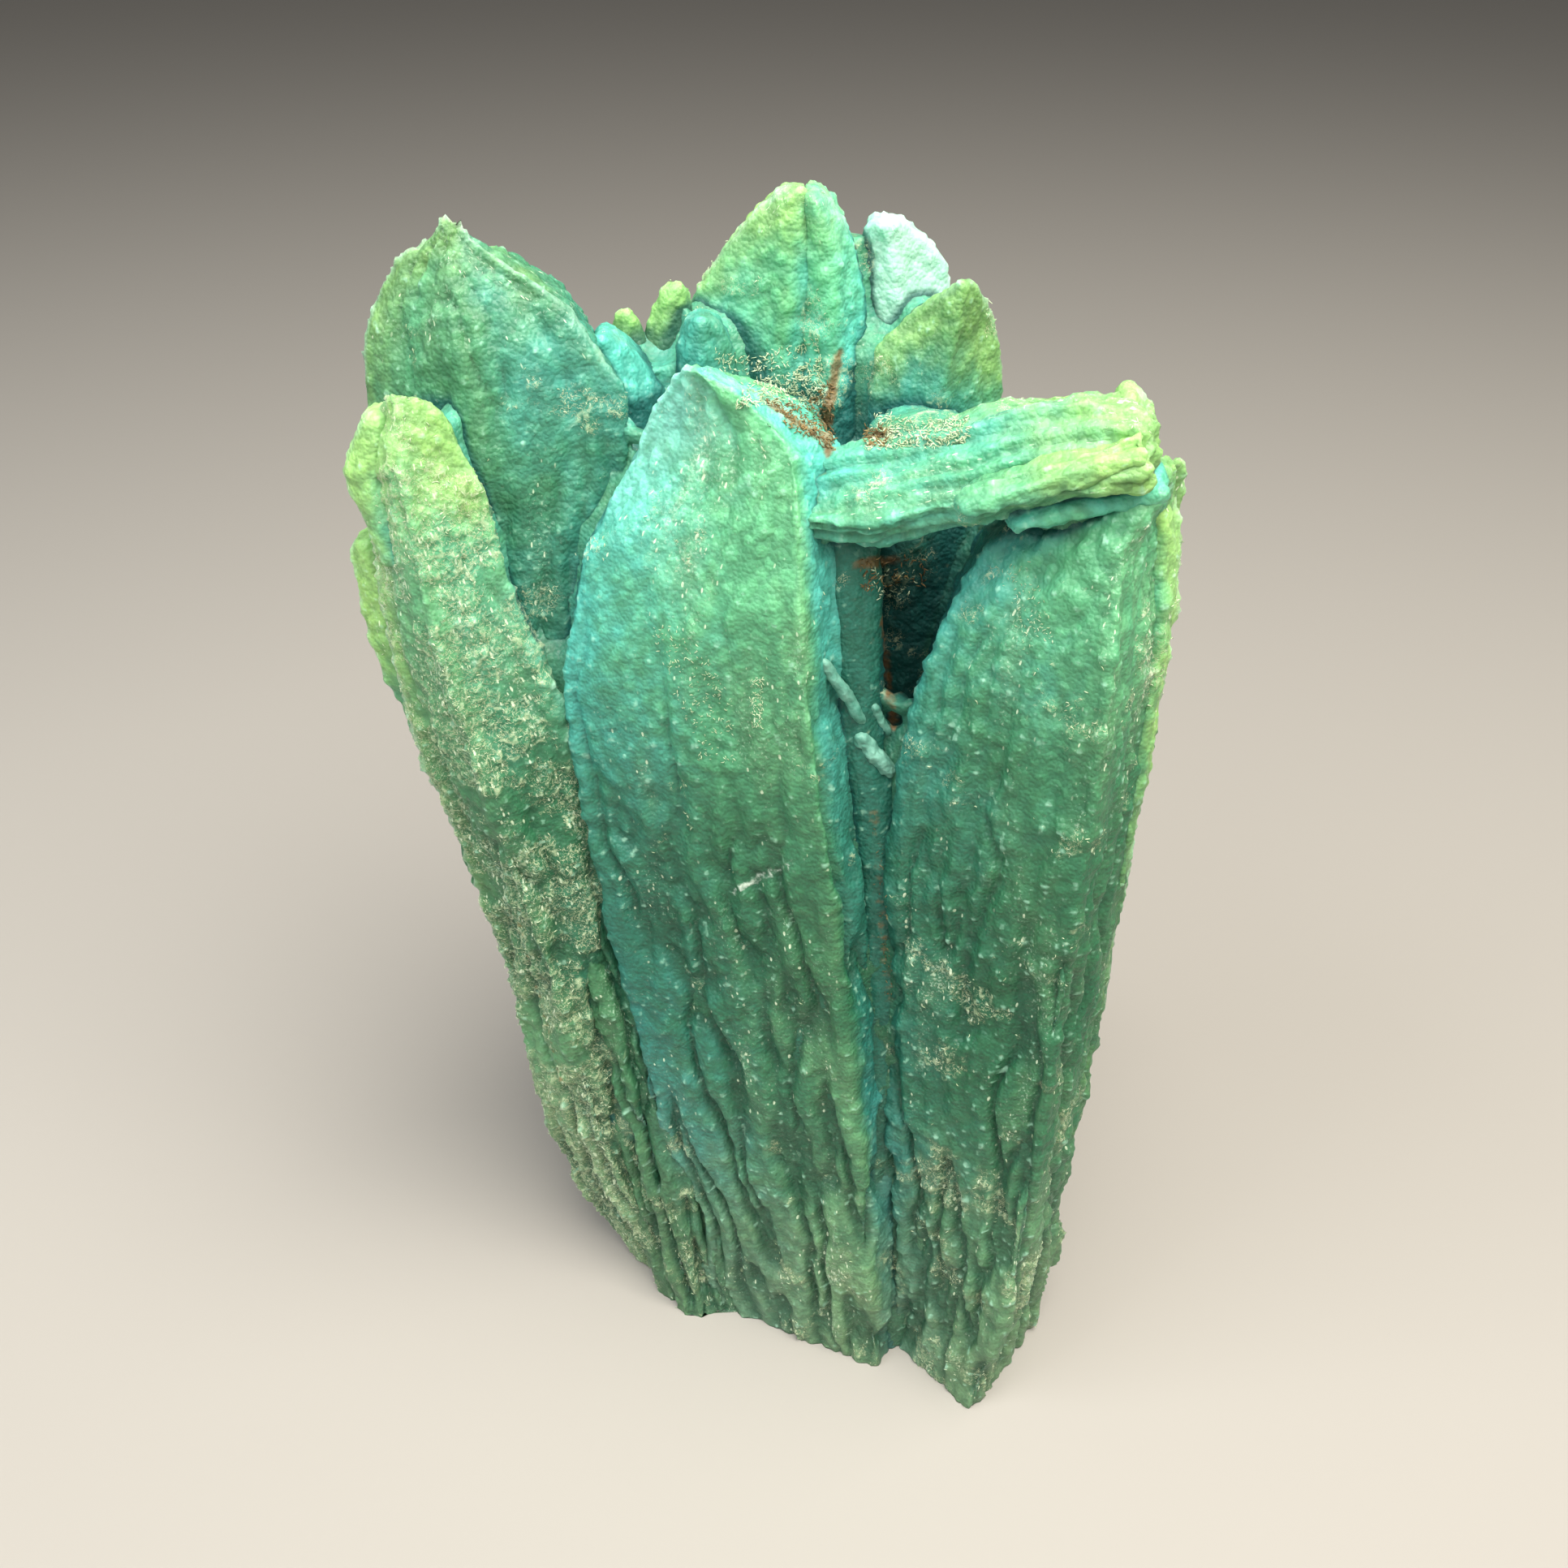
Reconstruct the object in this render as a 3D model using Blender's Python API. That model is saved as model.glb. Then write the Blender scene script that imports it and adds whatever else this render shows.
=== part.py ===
"""A hand specimen of chrysocolla that has replaced a spray of azurite blades.

The blades stand side by side on one broken foot and fan out towards the top, and
the whole spray is one solid. Lengths below are millimetres, until each blade's
points are turned into metres. +Z is up, -Y is the side with the widest blades.
"""

import math

import bmesh
import bpy
from mathutils import Euler, Matrix, Vector, noise

MM = 0.001

# The whole specimen
HEIGHT = 34.0
BOX_CENTRE = (-0.73, 0.35)  # middle of the spray's box, which is moved onto the origin
UNDER_FLOOR = 1.0  # how far the blades run below the broken foot before it is cut

# How the blades are drawn
RING_POINTS = 72
SLICE = 0.6  # height of one slice of a blade
ARRIS_ROUNDING = 0.16
RIB_DEPTH = 0.42  # long rounded ribs with narrow grooves between them
RIB_WIDTH = 1.5
RIB_LENGTH = 11.0
WEDGE_FROM = 0.85  # share of its full width at which a blade starts to thin to its tip
SMOOTH_TOP = 0.6  # share of the ribs' depth that is lost towards the top

# The fused surface
VOXEL = 0.2
SLIT = 0.14  # half the width of the narrowest slit that stays open between two blades
LUMP_HEIGHT = 0.09
LUMP_WIDTH = 1.0
FACES = 9300

# Each blade: slices (height, left edge, arris, right edge), the arris's depth at the
# foot and at the top, how far the two edges lie behind it, and the blade's thickness.
BLADES = {
    "front centre": dict(
        slices=[
            (0, -2.2, 2.9, 3.9), (4.4, -3.0, 2.6, 3.6), (9.7, -4.0, 2.1, 3.2),
            (14.5, -4.6, 1.6, 2.9), (19.3, -5.2, 1.1, 2.3), (23.5, -5.4, 0.6, 1.6),
            (26.8, -4.8, 0.1, 1.1), (29.0, -3.7, -0.3, 1.0), (29.9, -3.1, -0.7, 0.6),
            (30.6, -2.7, -1.2, -0.1), (31.2, -2.4, -1.8, -1.1),
        ],
        front=(-5.0, -4.8), edges=(2.4, 1.5), thick=6.4, ribs=1.0,
    ),
    "front right": dict(
        slices=[
            (0, 3.4, 5.7, 8.2), (5, 3.2, 6.5, 8.4), (12, 2.8, 6.7, 8.6),
            (19, 2.5, 6.8, 8.9), (22.4, 2.7, 6.9, 9.0), (24.6, 3.1, 6.9, 9.0),
            (26.3, 4.0, 6.9, 8.9), (27.3, 4.8, 6.9, 8.8), (28.2, 5.9, 6.8, 8.5),
            (28.9, 6.3, 6.7, 7.8),
        ],
        front=(-6.7, -6.9), edges=(2.6, 3.4), thick=6.9, ribs=0.9,
    ),
    "left tall": dict(
        slices=[
            (0, -4.2, -3.0, -1.0), (10, -6.4, -4.5, -2.0), (20, -8.4, -6.5, -3.4),
            (25, -9.5, -7.2, -4.0), (28.2, -9.9, -7.2, -3.6), (30, -9.8, -7.1, -3.5),
            (31, -9.6, -7.2, -4.0), (31.7, -9.4, -7.3, -4.7), (32.4, -9.0, -7.4, -5.9),
            (33.0, -8.5, -7.6, -7.0), (33.5, -7.8, -7.5, -7.2),
        ],
        front=(-0.7, -1.5), edges=(1.5, 1.2), thick=4.4, ribs=0.5,
    ),
    "left tall flank": dict(
        slices=[
            (0, -3.5, -2.6, -1.5), (15, -4.4, -3.4, -2.2), (28, -4.5, -3.6, -2.6),
            (29.5, -4.5, -3.7, -2.8), (30.4, -4.5, -4.0, -3.4), (31, -4.5, -4.2, -3.9),
        ],
        front=(0.3, -0.2), edges=(0.5, 0.9), thick=3.0, ribs=0.3,
    ),
    "left front": dict(
        slices=[
            (0, -5.2, -3.4, -1.4), (4.1, -6.9, -4.6, -2.4), (8, -7.6, -5.6, -3.6),
            (13.2, -7.9, -6.2, -4.0), (17.7, -8.6, -6.9, -4.4), (21.6, -9.4, -7.6, -5.3),
            (25.3, -9.7, -8.1, -6.2), (27.6, -9.6, -8.3, -6.7), (28.9, -9.6, -8.4, -7.0),
            (29.7, -9.2, -8.4, -7.2), (30.4, -8.8, -8.3, -7.5), (30.9, -8.6, -8.4, -8.0),
        ],
        front=(-1.9, -4.1), edges=(1.5, 1.1), thick=4.6, ribs=0.8,
    ),
    "left lobe": dict(
        slices=[
            (26.2, -9.3, -9.0, -8.4), (27.4, -9.7, -9.2, -8.4), (28.6, -10.0, -9.4, -8.4),
            (29.3, -9.7, -9.2, -8.4), (30.1, -9.2, -8.9, -8.5),
        ],
        front=(-2.7, -2.7), edges=(0.5, 0.5), thick=1.7, ribs=0.3,
    ),
    "right foot chip": dict(
        slices=[
            (1.4, 7.2, 7.8, 8.2), (2.8, 7.2, 8.0, 8.7), (4.2, 7.2, 8.0, 8.75),
            (4.7, 7.3, 7.9, 8.3),
        ],
        front=(-3.5, -3.5), edges=(0.4, 0.5), thick=1.8, ribs=0.3,
    ),
    "left sliver": dict(
        slices=[
            (19.5, -9.2, -8.8, -8.2), (21.2, -9.7, -9.1, -8.4), (22.5, -10.1, -9.4, -8.5),
            (24.2, -10.4, -9.6, -8.6), (26, -10.5, -9.8, -8.8), (26.5, -10.3, -9.9, -9.4),
        ],
        front=(-1.0, -1.6), edges=(0.4, 0.6), thick=1.8, ribs=0.3,
    ),
    "back centre": dict(
        slices=[
            (0, -3.8, -0.8, 0.8), (20, -3.3, -0.8, 0.8), (28.7, -2.75, -0.4, 0.85),
            (30.7, -2.45, 0.1, 0.9), (31.2, -2.1, 0.2, 0.9), (32, -1.4, 0.3, 0.95),
            (32.9, -0.6, 0.4, 0.95), (33.4, 0.0, 0.5, 0.9), (33.7, 0.4, 0.6, 0.8),
        ],
        front=(1.0, 1.7), edges=(1.1, 0.9), thick=4.2, ribs=0.4,
    ),
    "back centre rib": dict(
        slices=[
            (8, 0.8, 1.3, 2.0), (28.7, 0.8, 1.2, 1.6), (31, 0.8, 1.2, 1.85),
            (32.2, 0.75, 1.2, 1.8), (32.8, 0.7, 1.1, 1.5), (33.5, 0.7, 0.9, 1.1),
        ],
        front=(1.1, 1.9), edges=(0.5, 0.8), thick=3.4, ribs=0.3,
    ),
    "back centre bud": dict(
        slices=[
            (20, -2.6, -1.9, -1.1), (29.5, -2.6, -1.9, -1.0), (30.4, -2.6, -1.9, -1.1),
            (31, -2.4, -1.9, -1.4), (31.3, -2.2, -1.95, -1.7),
        ],
        front=(0.2, 0.2), edges=(0.6, 0.6), thick=2.0, ribs=0.2,
    ),
    "back right pale": dict(
        slices=[
            (4, 1.0, 2.6, 4.4), (22, 1.4, 2.7, 4.4), (29.7, 1.7, 2.7, 4.3),
            (31.5, 1.8, 2.6, 4.0), (32.0, 1.9, 2.6, 3.75), (32.5, 2.1, 2.6, 3.2),
            (32.7, 2.2, 2.5, 2.9),
        ],
        front=(1.9, 2.2), edges=(0.7, 0.8), thick=3.0, ribs=0.5,
    ),
    "back right": dict(
        slices=[
            (4, 1.8, 3.2, 5.0), (20, 1.9, 3.4, 5.3), (28.1, 2.0, 3.6, 5.4),
            (29.2, 2.0, 3.7, 5.4), (30.2, 2.1, 3.8, 5.2), (31.05, 2.8, 4.0, 4.95),
            (31.7, 3.7, 4.1, 4.6), (32.1, 4.0, 4.15, 4.3),
        ],
        front=(0.2, 0.5), edges=(0.9, 1.4), thick=3.2, ribs=0.5,
    ),
    "back left bud": dict(
        slices=[
            (24, -3.7, -3.0, -2.2), (29.4, -3.6, -3.0, -2.3), (30.4, -3.3, -2.8, -2.3),
            (31.0, -3.1, -2.8, -2.4),
        ],
        front=(2.2, 2.2), edges=(0.4, 0.4), thick=1.1, ribs=0.2,
    ),
    "back left knob": dict(
        slices=[(26, -3.9, -3.5, -3.0), (29.9, -3.9, -3.6, -3.1), (30.5, -3.7, -3.5, -3.3)],
        front=(2.1, 2.1), edges=(0.4, 0.4), thick=1.1, ribs=0.2,
    ),
    "right edge plate": dict(
        slices=[
            (14, 7.6, 8.1, 8.5), (22, 8.0, 8.5, 8.9), (26.5, 7.8, 8.4, 8.9),
            (28.2, 7.6, 8.2, 8.7), (29.6, 7.0, 7.5, 7.9), (30.6, 6.6, 7.0, 7.3),
            (31.1, 6.6, 6.8, 7.0),
        ],
        front=(-4.4, -5.2), edges=(0.5, 0.7), thick=1.9, ribs=0.3,
    ),
    "pocket wall": dict(
        slices=[
            (0, 1.0, 2.4, 4.0), (18.5, 0.6, 2.4, 3.9), (20.6, 0.5, 2.1, 3.1),
            (22.0, 0.2, 1.8, 2.5), (26, 0.0, 1.4, 2.3), (27.5, 0.0, 1.2, 2.2),
            (28.5, 0.4, 1.0, 1.4),
        ],
        front=(-4.3, -3.6), edges=(0.8, 0.3), thick=3.4, ribs=0.4,
    ),
    "rear left": dict(
        slices=[
            (0, -5.2, -2.8, -1.0), (10, -6.6, -4.2, -1.6), (20, -7.8, -5.4, -2.6),
            (24, -7.9, -5.8, -3.4), (26.4, -7.2, -6.0, -4.6), (27.4, -6.5, -6.1, -5.6),
        ],
        front=(1.6, 2.2), edges=(1.6, 1.4), thick=4.6, ribs=1.0,
    ),
    "rear centre": dict(
        slices=[
            (0, -3.4, 0.2, 2.8), (12, -3.6, 0.0, 3.0), (21, -3.0, 0.2, 2.8),
            (24, -1.8, 0.4, 2.2), (25.6, -0.4, 0.4, 1.2),
        ],
        front=(2.4, 3.4), edges=(1.4, 1.4), thick=4.4, ribs=1.0,
    ),
    "rear right": dict(
        slices=[
            (0, 3.0, 5.6, 7.6), (10, 3.2, 6.0, 8.3), (20, 3.4, 6.4, 8.8),
            (25, 3.7, 6.6, 8.7), (27, 4.3, 6.6, 8.1), (28.2, 5.2, 6.6, 7.6),
            (28.7, 6.0, 6.6, 7.1),
        ],
        front=(-1.4, -2.0), edges=(1.6, 2.2), thick=5.2, ribs=1.0,
    ),
    "rear low right": dict(
        slices=[
            (0, 1.6, 4.4, 7.2), (8, 2.0, 5.0, 8.0), (13, 3.0, 5.6, 7.9),
            (16.5, 4.6, 5.8, 7.0), (17.6, 5.5, 5.8, 6.2),
        ],
        front=(2.0, 3.4), edges=(1.2, 1.8), thick=4.0, ribs=0.8,
    ),
    "rear low left": dict(
        slices=[
            (0, -4.2, -2.4, -0.4), (7, -5.2, -3.0, -0.8), (11, -4.8, -3.2, -1.8),
            (13.4, -3.8, -3.3, -2.8),
        ],
        front=(4.2, 4.6), edges=(1.0, 1.0), thick=2.6, ribs=0.8,
    ),
    "heart": dict(
        slices=[(0, -4.4, 1.0, 5.6), (10, -5.4, 1.2, 6.0), (18, -6.2, 1.2, 5.4), (21, -6.0, 0, 4)],
        front=(-3.4, -1.0), edges=(1.9, 1.5), thick=7.0, ribs=0.3,
    ),
}

# Blades that lie across the upright ones: their slices run along the blade, which
# starts at a point, is tipped over about Y and then swung about Z, in degrees.
CROSSING = {
    "crossing": dict(
        slices=[
            (-0.4, -0.3, 0.2, 0.5), (0.3, -0.8, 0.4, 0.9), (1.2, -1.0, 0.5, 1.15),
            (4, -1.05, 0.5, 1.1), (6.6, -1.05, 0.5, 1.0), (7.0, -1.0, 0.5, 0.9),
        ],
        front=(-0.7, -3.6), edges=(1.3, 0.5), thick=2.6, ribs=1.2,
        start=(0.7, -4.7, 28.7), tip=78, swing=-6,
    ),
    "crossing plate": dict(
        slices=[(2.6, -0.3, 0.0, 0.5), (4, -0.5, 0.0, 0.5), (7.2, -0.5, 0.0, 0.5)],
        front=(-1.0, -1.0), edges=(0.4, 0.4), thick=1.9, ribs=0.6,
        start=(0.2, -3.1, 29.15), tip=81, swing=-2,
    ),
    "crossing lip": dict(
        slices=[(3.6, -0.3, 0.1, 0.4), (4.2, -0.5, 0.2, 0.6), (7.6, -0.4, 0.2, 0.5)],
        front=(-1.3, -1.3), edges=(0.6, 0.6), thick=2.0, ribs=0.5,
        start=(0.4, -5.4, 28.2), tip=75, swing=-3,
    ),
}

# Knobs that stick out of the outline: centre, radii
KNOBS = [
    ((-7.6, -0.9, 33.2), (0.4, 0.5, 0.5)),
]


def between(rows, height, column):
    """A column of a blade's slices at a height, on the straight line between two slices."""
    for low, high in zip(rows, rows[1:]):
        if height <= high[0]:
            share = (height - low[0]) / (high[0] - low[0])
            return low[column] + max(share, 0.0) * (high[column] - low[column])
    return rows[-1][column]


def rounded(corners, share):
    """Cuts each corner of a closed outline at a share of its sides."""
    points = []
    for here, after in zip(corners, corners[1:] + corners[:1]):
        points.append(here.lerp(after, share))
        points.append(here.lerp(after, 1 - share))
    return points


def evenly(outline, count):
    """That many points spaced evenly round a closed outline, with each one's distance along it."""
    sides = [(b - a).length for a, b in zip(outline, outline[1:] + outline[:1])]
    step = sum(sides) / count
    found, side, start = [], 0, 0.0
    for i in range(count):
        while start + sides[side] < i * step:
            start += sides[side]
            side += 1
        after = outline[(side + 1) % len(outline)]
        found.append((outline[side].lerp(after, (i * step - start) / sides[side]), i * step))
    return found


def section(blade, height, widest):
    """Outline of a blade at a height: two faces meet at the arris in front, and a flat back closes it."""
    left, arris, right = (between(blade["slices"], height, c) for c in (1, 2, 3))
    foot, top = blade["front"]
    near = foot + (top - foot) * height / HEIGHT
    narrowing = (right - left) / widest
    depth = blade["thick"] * min(1.0, narrowing / WEDGE_FROM) ** 0.8
    behind_left, behind_right = (e * min(1.0, 2 * narrowing) for e in blade["edges"])
    side = 0.2 * (right - left)
    return [
        Vector((left, near + behind_left)),
        Vector((arris, near)),
        Vector((right, near + behind_right)),
        Vector((right - side, near + depth)),
        Vector((left + side, near + depth)),
    ]


def rib(seed, along_ring, height):
    """How far a blade's surface stands out at a place on it: round ribs, narrow grooves."""
    place = Vector((along_ring / RIB_WIDTH, height / RIB_LENGTH, seed))
    return RIB_DEPTH * (min(1.0, 4.0 * abs(noise.noise(place))) - 0.6)


def add_blade(shape, blade, seed, place=Matrix.Identity(4)):
    """Stacks a blade's slices into a closed body."""
    rows = blade["slices"]
    low, high = rows[0][0], rows[-1][0]
    if low == 0:
        low = -UNDER_FLOOR
    widest = max(row[3] - row[1] for row in rows)
    count = max(3, round((high - low) / SLICE))
    rings = []
    for i in range(count + 1):
        height = low + (high - low) * i / count
        outline = rounded(section(blade, height, widest), ARRIS_ROUNDING)
        middle = sum(outline, Vector((0, 0))) / len(outline)
        fade = 1 - SMOOTH_TOP * min(1.0, max(0.0, height / HEIGHT - 0.5) / 0.4)
        ring = []
        for point, along in evenly(outline, RING_POINTS):
            out = point - middle
            strength = blade["ribs"] * fade * min(1.0, out.length / 1.5)
            point = point + out.normalized() * rib(seed, along, height) * strength
            ring.append(shape.verts.new(place @ Vector((point.x, point.y, height))))
        rings.append(ring)
    for lower, upper in zip(rings, rings[1:]):
        for j in range(RING_POINTS):
            k = (j + 1) % RING_POINTS
            shape.faces.new((lower[j], lower[k], upper[k], upper[j]))
    shape.faces.new(rings[0][::-1])
    shape.faces.new(rings[-1])


def add_knob(shape, centre, radii):
    place = Matrix.Translation(centre) @ Matrix.Diagonal((*radii, 1))
    bmesh.ops.create_icosphere(shape, subdivisions=3, radius=1.0, matrix=place)


def all_blades():
    """Every blade and knob as its own closed body, overlapping its neighbours."""
    shape = bmesh.new()
    for seed, blade in enumerate(BLADES.values()):
        add_blade(shape, blade, 3.7 * seed)
    for seed, blade in enumerate(CROSSING.values()):
        tipped = Euler((0, math.radians(blade["tip"]), math.radians(blade["swing"])))
        place = Matrix.Translation(blade["start"]) @ tipped.to_matrix().to_4x4()
        add_blade(shape, blade, 90 + 3.7 * seed, place)
    for centre, radii in KNOBS:
        add_knob(shape, centre, radii)
    to_origin = Matrix.Translation((-BOX_CENTRE[0], -BOX_CENTRE[1], 0))
    bmesh.ops.transform(shape, matrix=Matrix.Scale(MM, 4) @ to_origin, verts=shape.verts)
    return shape


def apply_modifier(body, kind, **settings):
    modifier = body.modifiers.new(kind.title(), kind)
    for name, value in settings.items():
        setattr(modifier, name, value)
    bpy.context.view_layer.objects.active = body
    bpy.ops.object.modifier_apply(modifier=modifier.name)


def swell(body, amount):
    """Moves the whole surface out, or in again, by an amount."""
    normals = [v.normal.copy() for v in body.data.vertices]
    for vertex, normal in zip(body.data.vertices, normals):
        vertex.co += normal * amount * MM


def raise_lumps(body):
    """Rounded lumps a millimetre or so across, all over the fused surface."""
    normals = [v.normal.copy() for v in body.data.vertices]
    for vertex, normal in zip(body.data.vertices, normals):
        place = vertex.co / (LUMP_WIDTH * MM)
        height = noise.noise(place) + 0.4 * noise.noise(2.1 * place)
        vertex.co += normal * height * LUMP_HEIGHT * MM


def cut_foot(body):
    """Takes off what is below the floor and closes the cut with flat faces."""
    shape = bmesh.new()
    shape.from_mesh(body.data)
    everything = shape.verts[:] + shape.edges[:] + shape.faces[:]
    bmesh.ops.bisect_plane(
        shape, geom=everything, dist=1e-7, plane_co=(0, 0, 0), plane_no=(0, 0, 1), clear_inner=True
    )
    open_edges = [e for e in shape.edges if e.is_boundary]
    bmesh.ops.holes_fill(shape, edges=open_edges, sides=0)
    bmesh.ops.triangulate(shape, faces=[f for f in shape.faces if len(f.verts) > 3])
    shape.to_mesh(body.data)
    shape.free()


def keep_largest(body):
    """Drops crumbs that the fusing left loose inside or beside the spray."""
    shape = bmesh.new()
    shape.from_mesh(body.data)
    groups, seen = [], set()
    for start in shape.verts:
        if start in seen:
            continue
        group, todo = [], [start]
        seen.add(start)
        while todo:
            vertex = todo.pop()
            group.append(vertex)
            for edge in vertex.link_edges:
                other = edge.other_vert(vertex)
                if other not in seen:
                    seen.add(other)
                    todo.append(other)
        groups.append(group)
    groups.sort(key=len)
    for group in groups[:-1]:
        bmesh.ops.delete(shape, geom=group, context="VERTS")
    shape.to_mesh(body.data)
    shape.free()


def chrysocolla():
    """Waxy green copper silicate."""
    material = bpy.data.materials.new("chrysocolla")
    material.use_nodes = True
    shader = material.node_tree.nodes["Principled BSDF"]
    shader.inputs["Base Color"].default_value = (0.11, 0.42, 0.27, 1)
    shader.inputs["Roughness"].default_value = 0.5
    shader.inputs["Metallic"].default_value = 0.0
    return material


def build():
    for old in list(bpy.data.objects):
        bpy.data.objects.remove(old)
    mesh = bpy.data.meshes.new("crystal_spray")
    shape = all_blades()
    shape.to_mesh(mesh)
    shape.free()
    spray = bpy.data.objects.new("crystal_spray", mesh)
    bpy.context.scene.collection.objects.link(spray)
    for amount in (SLIT, -SLIT):
        apply_modifier(spray, "REMESH", mode="VOXEL", voxel_size=VOXEL * MM)
        swell(spray, amount)
    keep_largest(spray)
    raise_lumps(spray)
    triangles = sum(len(p.vertices) - 2 for p in spray.data.polygons)
    apply_modifier(spray, "DECIMATE", ratio=FACES / triangles)
    cut_foot(spray)
    spray.data.materials.append(chrysocolla())


build()
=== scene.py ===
"""A hand specimen of chrysocolla that has replaced a spray of azurite blades.

Every blade is a piece of its own: a five-sided cage drawn up slice by slice, remeshed
finely and given its ribs, globules and crumbs. Lengths are millimetres until a piece is
finished, and then its mesh is scaled to metres and set about the specimen's origin.
"""

import math

import bmesh
import bpy
import numpy as np
from mathutils import Euler, Matrix, Vector


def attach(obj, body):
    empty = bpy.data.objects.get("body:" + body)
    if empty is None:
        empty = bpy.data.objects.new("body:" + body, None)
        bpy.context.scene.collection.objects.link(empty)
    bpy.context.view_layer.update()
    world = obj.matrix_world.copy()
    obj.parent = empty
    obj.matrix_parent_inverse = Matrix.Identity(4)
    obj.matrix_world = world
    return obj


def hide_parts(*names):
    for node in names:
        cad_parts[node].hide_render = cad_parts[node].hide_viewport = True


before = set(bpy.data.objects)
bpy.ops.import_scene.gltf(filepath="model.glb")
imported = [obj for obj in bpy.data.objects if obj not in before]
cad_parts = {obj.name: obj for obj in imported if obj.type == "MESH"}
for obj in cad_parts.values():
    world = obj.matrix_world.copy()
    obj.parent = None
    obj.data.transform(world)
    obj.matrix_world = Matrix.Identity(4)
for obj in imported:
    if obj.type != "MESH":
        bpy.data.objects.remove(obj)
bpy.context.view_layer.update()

MM = 0.001
HEIGHT = 34.0
BOX_CENTRE = (-0.73, 0.35)
TO_ORIGIN = Matrix.Scale(MM, 4) @ Matrix.Translation((-BOX_CENTRE[0], -BOX_CENTRE[1], 0))

# Camera: where the photograph was taken from
CAMERA_PLACE = (0.0, -34.9, 42.0)
CAMERA_PITCH = 33.7
FOCAL_PIXELS = 1900.0
PHOTO_PIXELS = 1932
SENSOR = 36.0

UNDER_FLOOR = 1.0  # how far a blade runs below the broken foot before it is cut
WEDGE_FROM = 0.85  # share of its full width at which a blade starts to thin to its tip
ARRIS_BEVEL = 0.25
FINE = 0.105  # spacing of the mesh on the blades that face the camera
MEDIUM = 0.13  # the same on the blades behind
BACK_INSET = 0.2  # how much narrower a blade's back is on each side, as a share of its width
EDGE_FOLLOWS = 1.5  # how long the edges keep their depth as a blade narrows to its tip
USUAL_WEDGE = 0.8  # power by which a blade thins to its tip
SHELTER_RAYS = 14
SHELTER_REACH = 5.0
SHELTER_LIFT = 0.45  # how far above the surface the rays start
SHELTER_CONE = 0.92  # how far the rays lean out from the normal
SHELTER_GAIN = 1.7
SHELTER_BLUR = 12
USUAL_TEAL = (0.2, 0.3, 0.5)  # at a blade's left edge, its arris and its right edge
USUAL_LIME = (0.9, 0.5, 0.5)  # at a blade's tip, its left edge and its right edge
LIME_REACH = 4.5  # how far the yellow-green runs down from a tip, and in from an edge
LIME_EDGE = 1.0
FROST_REACH = 5.0
RIM_WIDTH = 0.35
PALE_REACH = 7.0
SHELTER_MESH = 0.35
CREASE_MESH = 0.18
CREASE_FILL = 0.3  # half the width of the slits that the druse has closed
CREASE_SINK = 0.32
SEED_STEP = 40.0  # keeps the ribs of one blade unlike the next one's
MARK_STEPS = 8  # parts of each leg of a mark's path that are looked up in the photograph
WORM_LENGTH = 0.085
SHADE_BAND_HEIGHT = 0.0175  # height in metres at which a band of painted shade across the blades is darkest
SHADE_BAND_HALF = 0.009
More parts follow.
